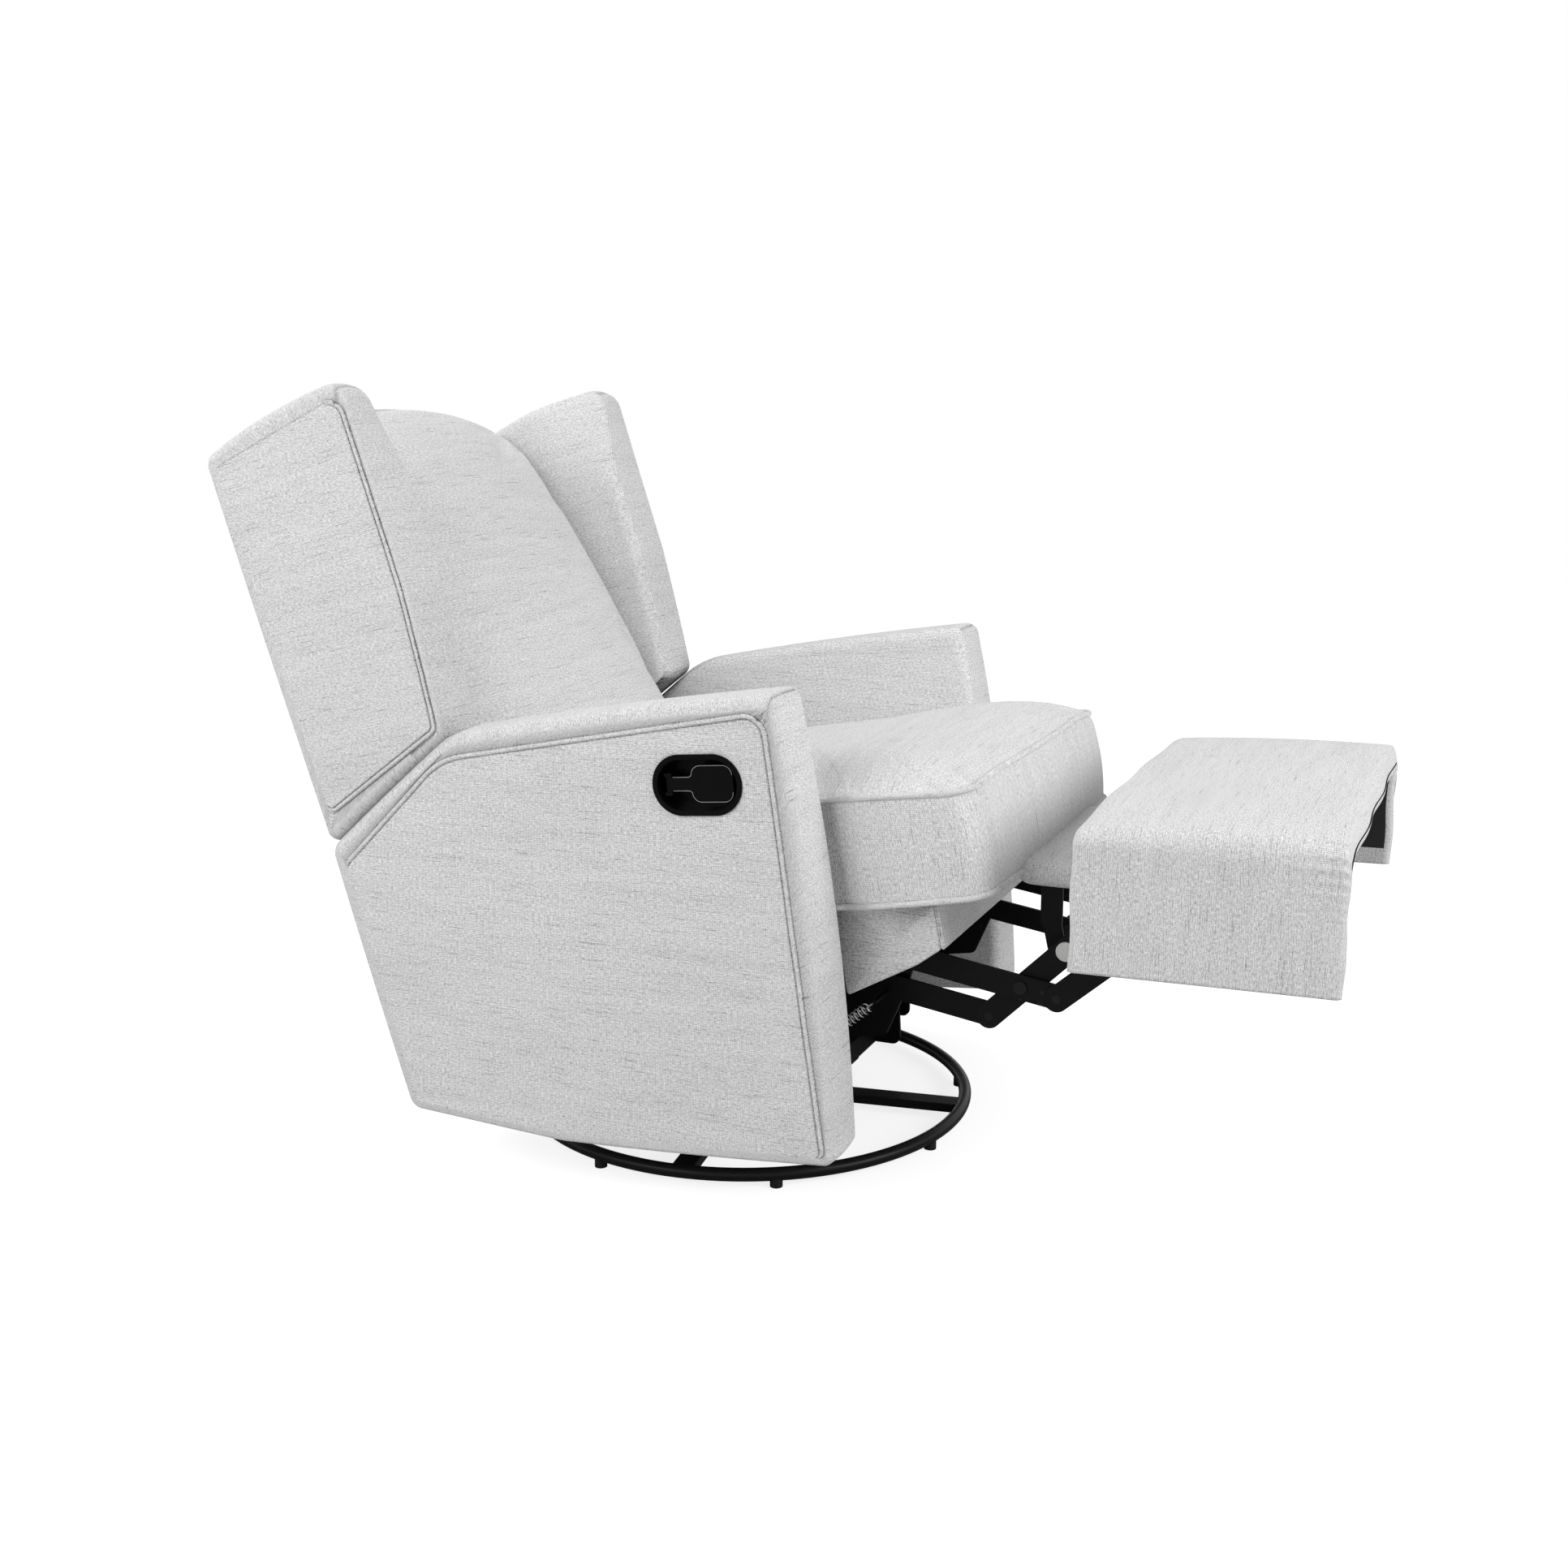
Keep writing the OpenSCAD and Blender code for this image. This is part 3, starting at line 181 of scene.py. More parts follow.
def softOutline(corners, radii, bows, offsets, perArc, perEdge):
    # Each edge moves in by its offset, each corner is an arc of its radius less the offset,
    # and an edge bows out by 4 t (1 - t) times its bow
    c = np.asarray(corners, dtype=float)
    nxt = np.roll(c, -1, axis=0)
    d = unit(nxt - c)
    hand = 1 if np.sum(c[:, 0] * nxt[:, 1] - nxt[:, 0] * c[:, 1]) > 0 else -1
    inward = np.stack([-d[:, 1], d[:, 0]], 1) * hand
    o = np.asarray(offsets, dtype=float)
    base = c + inward * o[:, None]
    dPrev, basePrev, inPrev = np.roll(d, 1, 0), np.roll(base, 1, 0), np.roll(inward, 1, 0)
    cross = dPrev[:, 0] * d[:, 1] - dPrev[:, 1] * d[:, 0]
    t = ((base - basePrev)[:, 0] * d[:, 1] - (base - basePrev)[:, 1] * d[:, 0]) / cross
    p = basePrev + dPrev * t[:, None]
    half = 0.5 * np.arccos(np.clip(np.sum(-dPrev * d, 1), -1, 1))
    r = np.maximum(np.asarray(radii) - 0.5 * (o + np.roll(o, 1)), 0.0015)
    run = r / np.tan(half)
    # A corner that turns the other way has its centre outside
    bent = np.where(cross * hand < 0, -1.0, 1.0)[:, None]
    centre = p + bent * unit(inPrev + inward) * (r / np.sin(half))[:, None]
    a0 = np.arctan2(*(-inPrev * bent).T[::-1])
    a1 = np.arctan2(*(-inward * bent).T[::-1])
    sweep = (a1 - a0 + np.pi) % (2 * np.pi) - np.pi
    angle = a0[:, None] + sweep[:, None] * np.linspace(0, 1, perArc)
    arcs = centre[:, None] + r[:, None, None] * np.stack([np.cos(angle), np.sin(angle)], -1)
    s = (np.arange(perEdge) + 1) / (perEdge + 1)
    start = p + d * run[:, None]
    end = np.roll(p - dPrev * run[:, None], -1, 0)
    bulge = np.asarray(bows)[:, None] * 4 * s * (1 - s)
    edges = start[:, None] + (end - start)[:, None] * s[None, :, None] - inward[:, None] * bulge[..., None]
    return np.concatenate([arcs, edges], axis=1).reshape(-1, 2)


def sweptOutline(corners, radii, x0, x1, edge, turns, steps, perArc, perEdge, lifts=0.0):
    # An outline in the y-z plane carried from x0 to x1 and drawn in over a quarter turn at each end.
    # The lifts move its edges outwards.
    turn = np.linspace(0, np.pi / 2, turns)
    insets, rise = edge * (1 - np.sin(turn)), edge * (1 - np.cos(turn))
    x = np.concatenate([x0 + rise, np.linspace(x0 + edge, x1 - edge, steps)[1:-1], x1 - rise[::-1]])
    flat = np.zeros(len(corners))
    sections = [softOutline(corners, radii, flat, flat + d - lifts, perArc, perEdge)
                for d in np.concatenate([insets, np.zeros(steps - 2), insets[::-1]])]
    return x, np.array([np.insert(section, 0, place, axis=1) for place, section in zip(x, sections)])


# Camera and light

cameraValues = {"place": (-2.125, -0.953, 0.928), "yaw": 22.947, "pitch": 11.705, "lens": 40.41, "sensor": 36}
lightValues = {
    "world": 0.54,
    "lamps": {
        "sideRear": {"place": (-2.5, 1.2, 1.9), "target": (0, 0, 0.5), "width": 2.2, "watts": 44},
        "front": {"place": (-0.4, -3.2, 1.7), "target": (0, -0.2, 0.5), "width": 2.2, "watts": 62},
        "rearAbove": {"place": (0.6, 1.9, 2.8), "target": (0, 0.2, 0.7), "width": 2.4, "watts": 30},
    },
}
floorValues = {"radius": 9, "sides": 96, "drop": 0.0005, "plain": 0.5, "bounce": 0.45, "glow": 0.8}


class Nodes:
    # A small hand for node trees: add returns the outputs of the node that it makes
    def __init__(self, tree):
        self.tree = tree

    def put(self, socket, value):
        if isinstance(value, bpy.types.NodeSocket):
            self.tree.links.new(value, socket)
        else:
            socket.default_value = value

    def add(self, kind, inputs, **settings):
        # Inputs go by name or number, as plain values or as sockets to link
        node = self.tree.nodes.new("ShaderNode" + kind)
        for key, value in settings.items():
            setattr(node, key, value)
        for key, value in inputs.items():
            self.put(node.inputs[key], value)
        return node.outputs

    def maths(self, operation, *values):
        return self.add("Math", dict(enumerate(values)), operation=operation)[0]


def addCamera(values):
    lens = bpy.data.cameras.new("camera")
    lens.lens, lens.sensor_width, lens.clip_end = values["lens"], values["sensor"], 60
    yaw, pitch = math.radians(values["yaw"]), math.radians(values["pitch"])
    turn = (math.pi / 2 - pitch, 0, yaw - math.pi / 2)
    bpy.context.scene.camera = addObject("camera", lens, values["place"], turn)


def addLights(values):
    # Three soft lamps and an even grey world, which is white where the camera sees it
    for name, lamp in values["lamps"].items():
        light = bpy.data.lights.new(name, "AREA")
        light.size, light.energy = lamp["width"], lamp["watts"]
        aim = Vector(lamp["target"]) - Vector(lamp["place"])
        addObject(name, light, lamp["place"], aim.to_track_quat("-Z", "Y").to_euler())
    world = bpy.data.worlds.new("studio")
    bpy.context.scene.world = world
    world.use_nodes = True
    world.node_tree.nodes.clear()
    s = Nodes(world.node_tree)
    rays = s.add("LightPath", {})
    seen = s.maths("MAXIMUM", rays["Is Camera Ray"], rays["Is Transmission Ray"])
    seen = s.maths("MAXIMUM", seen, rays["Is Glossy Ray"])
    lit = s.add("Background", {"Strength": values["world"]})[0]
    white = s.add("Background", {"Color": (1, 1, 1, 1), "Strength": 1.0})[0]
    s.add("OutputWorld", {"Surface": s.add("MixShader", {0: seen, 1: lit, 2: white})[0]})
    bpy.context.scene.view_settings.view_transform = "Standard"


def addFloor(values):
    # A wide disc: the camera sees it near white with the shadow kept
    a = np.linspace(0, 2 * np.pi, values["sides"], endpoint=False)
    points = np.stack([values["radius"] * np.cos(a), values["radius"] * np.sin(a), 0 * a - values["drop"]], -1)
    mesh = bpy.data.meshes.new("floor")
    mesh.from_pydata(points.tolist(), [], [list(range(len(a)))])
    material = bpy.data.materials.new("floorWhite")
    material.use_nodes = True
    material.node_tree.nodes.clear()
    s = Nodes(material.node_tree)
    plain, bounce = (s.add("BsdfDiffuse", {"Color": (*[values[key]] * 3, 1)})[0] for key in ("plain", "bounce"))
    glow = s.add("Emission", {"Strength": values["glow"]})[0]
    seen = s.add("AddShader", {0: plain, 1: glow})[0]
    mix = s.add("MixShader", {0: s.add("LightPath", {})["Is Camera Ray"], 1: bounce, 2: seen})[0]
    s.add("OutputMaterial", {"Surface": mix})
    mesh.materials.append(material)
    addObject("floor", mesh)


# Materials

class Shader(Nodes):
    # The tree of a new material: every helper returns the output socket that it makes
    def __init__(self, name):
        self.material = bpy.data.materials.new(name)
        self.material.use_nodes = True
        super().__init__(self.material.node_tree)
        self.surface = next(x for x in self.tree.nodes if x.type == "BSDF_PRINCIPLED")

    def plus(self, a, b):
        return self.maths("ADD", a, b)

    def minus(self, a, b):
        return self.maths("SUBTRACT", a, b)

    def times(self, a, b):
        return self.maths("MULTIPLY", a, b)

    def timesPlus(self, a, b, c):
        return self.maths("MULTIPLY_ADD", a, b, c)

    def uv(self, name):
        return self.add("UVMap", {}, uv_map=name)[0]

    def objectPlace(self):
        return self.add("TexCoord", {})["Object"]

    def scaled(self, vector, scale):
        return self.add("Mapping", {"Vector": vector, "Scale": scale})[0]

    def noise(self, vector, scale, detail=2.0, rough=0.5, warp=0.0):
        return self.add("TexNoise", {"Vector": vector, "Scale": scale, "Detail": detail, "Roughness": rough,
                                     "Distortion": warp})["Fac"]

    def ramp(self, value, low, high, start=0.0, end=1.0):
        return self.add("MapRange", {"Value": value, "From Min": low, "From Max": high, "To Min": start,
                                     "To Max": end}, interpolation_type="SMOOTHSTEP")["Result"]

    def tint(self, colour, factor):
        # The colour times a factor
        return self.add("VectorMath", {0: colour, "Scale": factor}, operation="SCALE")[0]

    def blend(self, factor, first, second):
        a, b = (x if isinstance(x, bpy.types.NodeSocket) else (*x, 1) for x in (first, second))
        return self.add("Mix", {"Factor": factor, "A": a, "B": b}, data_type="RGBA")["Result"]

    def finish(self, inputs, height, strength, distance):
        # Sets or links the surface's inputs, and adds the bump of a height
        for key, value in inputs.items():
            self.put(self.surface.inputs[key], value)
        bump = self.add("Bump", {"Strength": strength, "Distance": distance, "Height": height})[0]
        self.put(self.surface.inputs["Normal"], bump)
        return self.material


clothValues = {
    "colour": (0.755, 0.755, 0.76),
    "threadPitch": 0.0030,      # from one raised thread crossing to the next
    "threadContrast": 0.34,
    "drift": 0.0022,            # how far the threads wander
    "heather": 0.36,            # light and dark single threads
    "slub": 0.40,               # long darker threads along the weft
    "broad": 0.20,              # soft bands
    "stitchPitch": 0.0052,
    "stitchRow": 0.0032,        # from the middle of a welt to each row of stitches
    "creaseShade": 0.42,
    "rough": 0.92, "bump": 0.0006,
}
metalValues = {
    "mechanismPaint": {"colour": (0.005, 0.005, 0.0055), "wear": (0.045, 0.044, 0.043), "rough": 0.36},
    "basePaint": {"colour": (0.010, 0.010, 0.011), "wear": (0.05, 0.05, 0.05), "rough": 0.3},
    "rivetHeads": {"colour": (0.014, 0.014, 0.015), "wear": (0.16, 0.155, 0.15), "rough": 0.28},
}
plateValues = {
    "zincPlate": {"colour": (0.56, 0.56, 0.57), "rough": 0.36},
    "springPlate": {"colour": (0.8, 0.8, 0.81), "rough": 0.16},
    "springWire": {"colour": (0.3, 0.29, 0.28), "rough": 0.42},
}
plasticValues = {
    "handlePlastic": {"colour": (0.003, 0.003, 0.0032), "rough": 0.22, "grain": 0.05, "shine": 0.1},
    # Light grey for the paddle's rim beads: a painted highlight
    "rimHighlightPlastic": {"colour": (0.34, 0.34, 0.34), "rough": 0.3, "grain": 0.02, "shine": 0.5},
    "feetPlastic": {"colour": (0.010, 0.010, 0.011), "rough": 0.55, "grain": 0.2, "shine": 0.25},
    "buttonPlastic": {"colour": (0.62, 0.62, 0.61), "rough": 0.4, "grain": 0.1, "shine": 0.5},
}
woodValues = {"light": (0.68, 0.5, 0.31), "dark": (0.5, 0.33, 0.18), "pore": (0.2, 0.12, 0.06)}
dustClothValues = {"colour": (0.022, 0.022, 0.023)}


def wovenCloth(name, values):
    # Brightness is 1 plus crossed sine threads and noise drawn out along warp and weft, less long slubs,
    # the stitch lines and the painted shade stored on each point
    s = Shader(name)
    place = s.uv("weave")
    u, v, _ = s.add("SeparateXYZ", {0: place})
    pitch = 2 * math.pi / values["threadPitch"]
    drift = s.times(s.noise(place, 90, 1), values["drift"])
    a = s.maths("SINE", s.times(s.plus(s.plus(u, v), drift), pitch))
    b = s.maths("SINE", s.times(s.minus(s.minus(u, v), drift), pitch * 0.93))
    dots = s.times(a, b)
    threads = s.noise(s.scaled(place, (240, 560, 1)), 1.0, 2, 0.6)
    warps = s.noise(s.scaled(place, (820, 130, 1)), 1.0, 1)
    slub = s.ramp(s.noise(s.scaled(place, (20, 400, 1)), 1.0, 3, 0.62), 0.54, 0.76)
    broad = s.noise(s.scaled(place, (5, 60, 1)), 1.0)
    light = s.plus(1.0, s.times(dots, values["threadContrast"]))
    light = s.plus(light, s.times(s.minus(threads, 0.5), 4 * values["heather"]))
    light = s.plus(light, s.times(s.minus(warps, 0.5), 1.2 * values["heather"]))
    light = s.minus(light, s.times(slub, values["slub"]))
    light = s.plus(light, s.times(s.minus(broad, 0.5), values["broad"]))
    # Two rows of stitches beside a welt, dashed along it, drawn darker: painted shade where the stitches pull the
    # cloth in
    length, side, _ = s.add("SeparateXYZ", {0: s.uv("stitch")})
    row = s.maths("ABSOLUTE", s.minus(s.maths("ABSOLUTE", side), values["stitchRow"]))
    line = s.ramp(row, 0.0003, 0.0011, 1.0, 0.0)
    dash = s.ramp(s.maths("SINE", s.times(length, 2 * math.pi / values["stitchPitch"])), -0.5, 0.1)
    light = s.minus(light, s.times(line, s.timesPlus(dash, 0.10, 0.13)))
    # Painted shade: the value stored on each point darkens the cloth in seams, along creases, where parts meet and
    # under other parts
    paintedShade = s.add("Attribute", {}, attribute_name="paintedShade")["Fac"]
    light = s.minus(light, s.times(paintedShade, values["creaseShade"]))
    height = s.minus(s.plus(s.times(dots, 0.5), threads), s.times(line, 1.2))
    return s.finish({"Base Color": s.tint(values["colour"], light), "Roughness": values["rough"],
                     "Specular IOR Level": 0.25, "Sheen Weight": 0.18, "Sheen Roughness": 0.5},
                    height, 0.55, values["bump"])


def blackMetal(name, values):
    # Satin paint: fine orange-peel, faint drag streaks and dusty scuffs
    s = Shader(name)
    place = s.objectPlace()
    peel = s.noise(place, 900)
    streak = s.noise(s.scaled(place, (60, 7, 60)), 1.0, 3)
    dust = s.ramp(s.noise(place, 26, 4, 0.6), 0.52, 0.8)
    scuff = s.ramp(s.noise(s.scaled(place, (340, 40, 120)), 1.0, 4, 0.7), 0.66, 0.74)
    paint = s.blend(s.times(dust, 0.35), values["colour"], (0.012, 0.012, 0.0125))
    return s.finish({"Base Color": s.blend(s.times(scuff, 0.5), paint, values["wear"]),
                     "Roughness": s.timesPlus(streak, 0.18, values["rough"] - 0.09), "Specular IOR Level": 0.13},
                    s.timesPlus(peel, 0.6, s.times(streak, 0.4)), 0.12, 0.0004)


def brightMetal(name, values):
    # Plated steel with fine turning lines and patches of duller plate
    s = Shader(name)
    place = s.objectPlace()
    lines = s.noise(s.scaled(place, (420, 30, 30)), 1.0, 3, 0.6)
    patch = s.noise(place, 40, 3)
    return s.finish({"Base Color": s.tint(values["colour"], s.timesPlus(patch, 0.3, 0.82)), "Metallic": 1.0,
                     "Roughness": s.timesPlus(lines, 0.22, values["rough"] - 0.08)}, lines, 0.15, 0.0003)


def mouldedPlastic(name, values):
    # Moulded plastic with a fine spark-eroded grain
    s = Shader(name)
    place = s.objectPlace()
    cloud = s.noise(place, 60, 3)
    return s.finish({"Base Color": s.tint(values["colour"], s.timesPlus(cloud, 0.35, 0.82)),
                     "Roughness": s.timesPlus(cloud, 0.12, values["rough"] - 0.05),
                     "Specular IOR Level": values["shine"]}, s.noise(place, 1400), values["grain"], 0.0003)


def plainWood(name, values):
    # Plywood and softwood: growth bands drawn out along the board, with darker pores
    s = Shader(name)
    place = s.scaled(s.objectPlace(), (1, 22, 22))
    bands = s.noise(place, 3.0, 4, 0.55, 0.6)
    pores = s.ramp(s.noise(s.scaled(place, (1, 6, 6)), 12, 3, 0.7), 0.6, 0.75)
    colour = s.blend(s.ramp(bands, 0.3, 0.7), values["light"], values["dark"])
    return s.finish({"Base Color": s.blend(s.times(pores, 0.4), colour, values["pore"]), "Roughness": 0.7},
                    bands, 0.2, 0.0006)


def blackCloth(name, values):
    # Non-woven dust cloth: matted fibres
    s = Shader(name)
    fibres = s.noise(s.scaled(s.objectPlace(), (900, 500, 700)), 1.0, 3, 0.7, 1.5)
    return s.finish({"Base Color": s.tint(values["colour"], s.timesPlus(fibres, 1.2, 0.4)), "Roughness": 0.95},
                    fibres, 0.4, 0.0005)


addCamera(cameraValues)
addLights(lightValues)
addFloor(floorValues)
finishes = {"wovenGreyCloth": wovenCloth("wovenGreyCloth", clothValues)}
for make, table in ((blackMetal, metalValues), (brightMetal, plateValues), (mouldedPlastic, plasticValues),
                    (plainWood, {"frameWood": woodValues}), (blackCloth, {"dustCloth": dustClothValues})):
    finishes.update({name: make(name, values) for name, values in table.items()})
print("camera, lights and materials ready")

nodesOfFinish = {
    "basePaint": ["base_ring", "base_cross_bars", "swivel_lower_plate"], "feetPlastic": ["base_feet"],
    "zincPlate": ["swivel_bearing", "swivel_bolt"],
    "rivetHeads": ["stanchion_pins", "glide_pins", "link_pivot_pins", "long_link_pins", "short_link_pins"],
    "buttonPlastic": ["link_buttons"], "springPlate": ["assist_spring_right", "assist_spring_left"],
    "springWire": ["seat_springs"], "dustCloth": ["footrest_board"],
    "frameWood": ["seat_frame", "back_stiles", "back_rails", "arm_frame_right", "arm_frame_left"],
    "handlePlastic": ["handle_bezel", "release_lever"],
}
finishOfNode = {node: finish for finish, nodes in nodesOfFinish.items() for node in nodes}
for nodeName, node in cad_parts.items():
    node.data.materials.clear()
    node.data.materials.append(finishes[finishOfNode.get(nodeName, "mechanismPaint")])
print("frame parts finished")


def upholster(piece, body, node=None):
    # Clothes a piece and hangs it on its body. A pad also stands for its CAD node, filled by that share.
    if not piece.data.materials:
        piece.data.materials.append(finishes["wovenGreyCloth"])
    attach(piece, body)
    if node:
        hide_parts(node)


# Arms and wings: padded slabs with a sewn seam on the outer face

# One value per corner or per edge, in order round the outline of the (y, z) corners
armValues = {
    "corners": [(-0.2765, 0.096), (-0.203, 0.6357), (0.219, 0.563), (0.398, 0.4074), (0.2942, 0.079),
                (0.0776, 0.069)],
    "radii": [0.012, 0.015, 0.100, 0.020, 0.020, 0.160],
    "bows": [0.011, 0.003, 0.001, 0.001, 0.0, 0.002],
    "outerRound": [0.007, 0.015, 0.015, 0.008, 0.006, 0.006], "innerRound": 0.015,
    "seamCorners": [(-0.2638, 0.105), (-0.1895, 0.6130), (0.2320, 0.5300), (0.3735, 0.3885), (0.2860, 0.089),
                    (0.0776, 0.079)],
    "seamRadii": [0.008, 0.024, 0.110, 0.012, 0.012, 0.140],
    "seamShade": [0.8, 0.7, 0.7, 0.0, 0.0, 0.0], "underShade": [0, 0, 0.9, 0, 0, 0],
    "inner": 0.2975, "outer": 0.385, "topCorner": 1, "perEdge": 56,
    "weaveAxes": seenFromSide, "taper": 0.0,
}
wingValues = {
    "corners": [(0.2491, 0.5423), (0.2957, 0.730), (0.3785, 0.981), (0.5925, 0.883), (0.4262, 0.392)],
    "radii": [0.016, 0.250, 0.032, 0.018, 0.014],
    "bows": [0.001, 0.0, 0.006, 0.001, -0.002],
    "outerRound": [0.005, 0.005, 0.014, 0.008, 0.018], "innerRound": 0.017,
    "seamCorners": [(0.2632, 0.5570), (0.3051, 0.7275), (0.3828, 0.9562), (0.5735, 0.8685), (0.4268, 0.4372)],
    "seamRadii": [0.012, 0.240, 0.022, 0.010, 0.010],
    "seamShade": [1.3, 1.3, -0.6, 0.0, 1.2], "underShade": [0.2, 0, 0, 0, 2.0],
    "inner": 0.257, "outer": 0.345, "topCorner": 2, "perEdge": 40,
    "weaveAxes": [[0, -0.970, 0.242], [0, 0.242, 0.970]],
    # The inner face draws towards the outer one near the front top corner
    "taper": 0.036, "taperHeights": (0.84, 0.975), "taperDepths": (0.02, 0.12),
}
# A stadium-shaped pocket in the right arm, for the release paddle
pocketValues = {"y": -0.111, "z": 0.527, "tilt": math.radians(5), "length": 0.1036, "height": 0.0626,
                "deep": 0.0245, "lip": 0.0012}
weltValues = {
    # Distance of the rows of points from the middle of the seam, from the inside out
    "rows": [0.012, 0.008, 0.0062, 0.005, 0.0042, 0.0034, 0.0026, 0.0018, 0.0009, 0, -0.0009, -0.0018, -0.0026,
             -0.0034, -0.0042],
    "bead": 0.0011, "beadWidth": 0.0024, "groove": 0.0016, "grooveAt": 0.0034, "grooveWidth": 0.0010,
    "drawn": 0.0012,            # depth and width of a single drawn-in seam
    # The seam across the strip, as a depth and a width in points, and the fullness of the faces
    "cut": 0.0013, "cutPoints": 1.1, "wave": 0.0012, "outerFill": 0.0020, "innerFill": 0.0025, "stripFill": 0.0018,
}


def perPoint(edgeValues, perArc, perEdge):
    # One value per edge, turned into one per outline point and blended over the corners
    e = np.asarray(edgeValues, dtype=float)
    t = np.linspace(0, 1, perArc)
    arcs = np.roll(e, 1)[:, None] * (1 - t) + e[:, None] * t
    return np.concatenate([arcs, np.repeat(e[:, None], perEdge, axis=1)], axis=1).ravel()


def pocketRows(values, last):
    # Rings on the pocket's floor, up its wall and from its rim out to the last ring, with their depths and
    # their shares of the way. The rim is where the ray to each point of the last ring leaves the stadium.
    c, s = math.cos(values["tilt"]), math.sin(values["tilt"])
    heart = np.array([values["y"], values["z"]])
    away = last - heart
    flat = unit(np.stack([away[:, 0] * c - away[:, 1] * s, away[:, 0] * s + away[:, 1] * c], 1))
    r, h = values["height"] / 2, (values["length"] - values["height"]) / 2
    ahead, up = np.abs(flat[:, 0]), np.abs(flat[:, 1])
    straight = r / np.maximum(up, 1e-9)
    curved = h * ahead + np.sqrt(np.maximum(r * r - (h * up) ** 2, 0))
    reach = flat * np.where(straight * ahead < h, straight, curved)[:, None]
    rim = heart + np.stack([reach[:, 0] * c + reach[:, 1] * s, -reach[:, 0] * s + reach[:, 1] * c], 1)
    inset, deep = 1 - values["lip"] / r, values["deep"]
    out = np.array([0.02, 0.07, 0.15, 0.26, 0.4, 0.55, 0.7, 0.83, 0.93])
    rings = [heart + share * inset * (rim - heart) for share in (0.35, 0.8, 0.97, 1, 1, 1)]
    rings += [rim] + [rim + share * (last - rim) for share in out]
    sunk = [deep, deep, deep, deep * 0.9, deep * 0.45, values["lip"], 0, *np.zeros(len(out))]
    return rings, np.array(sunk), np.concatenate([np.ones(7), out])


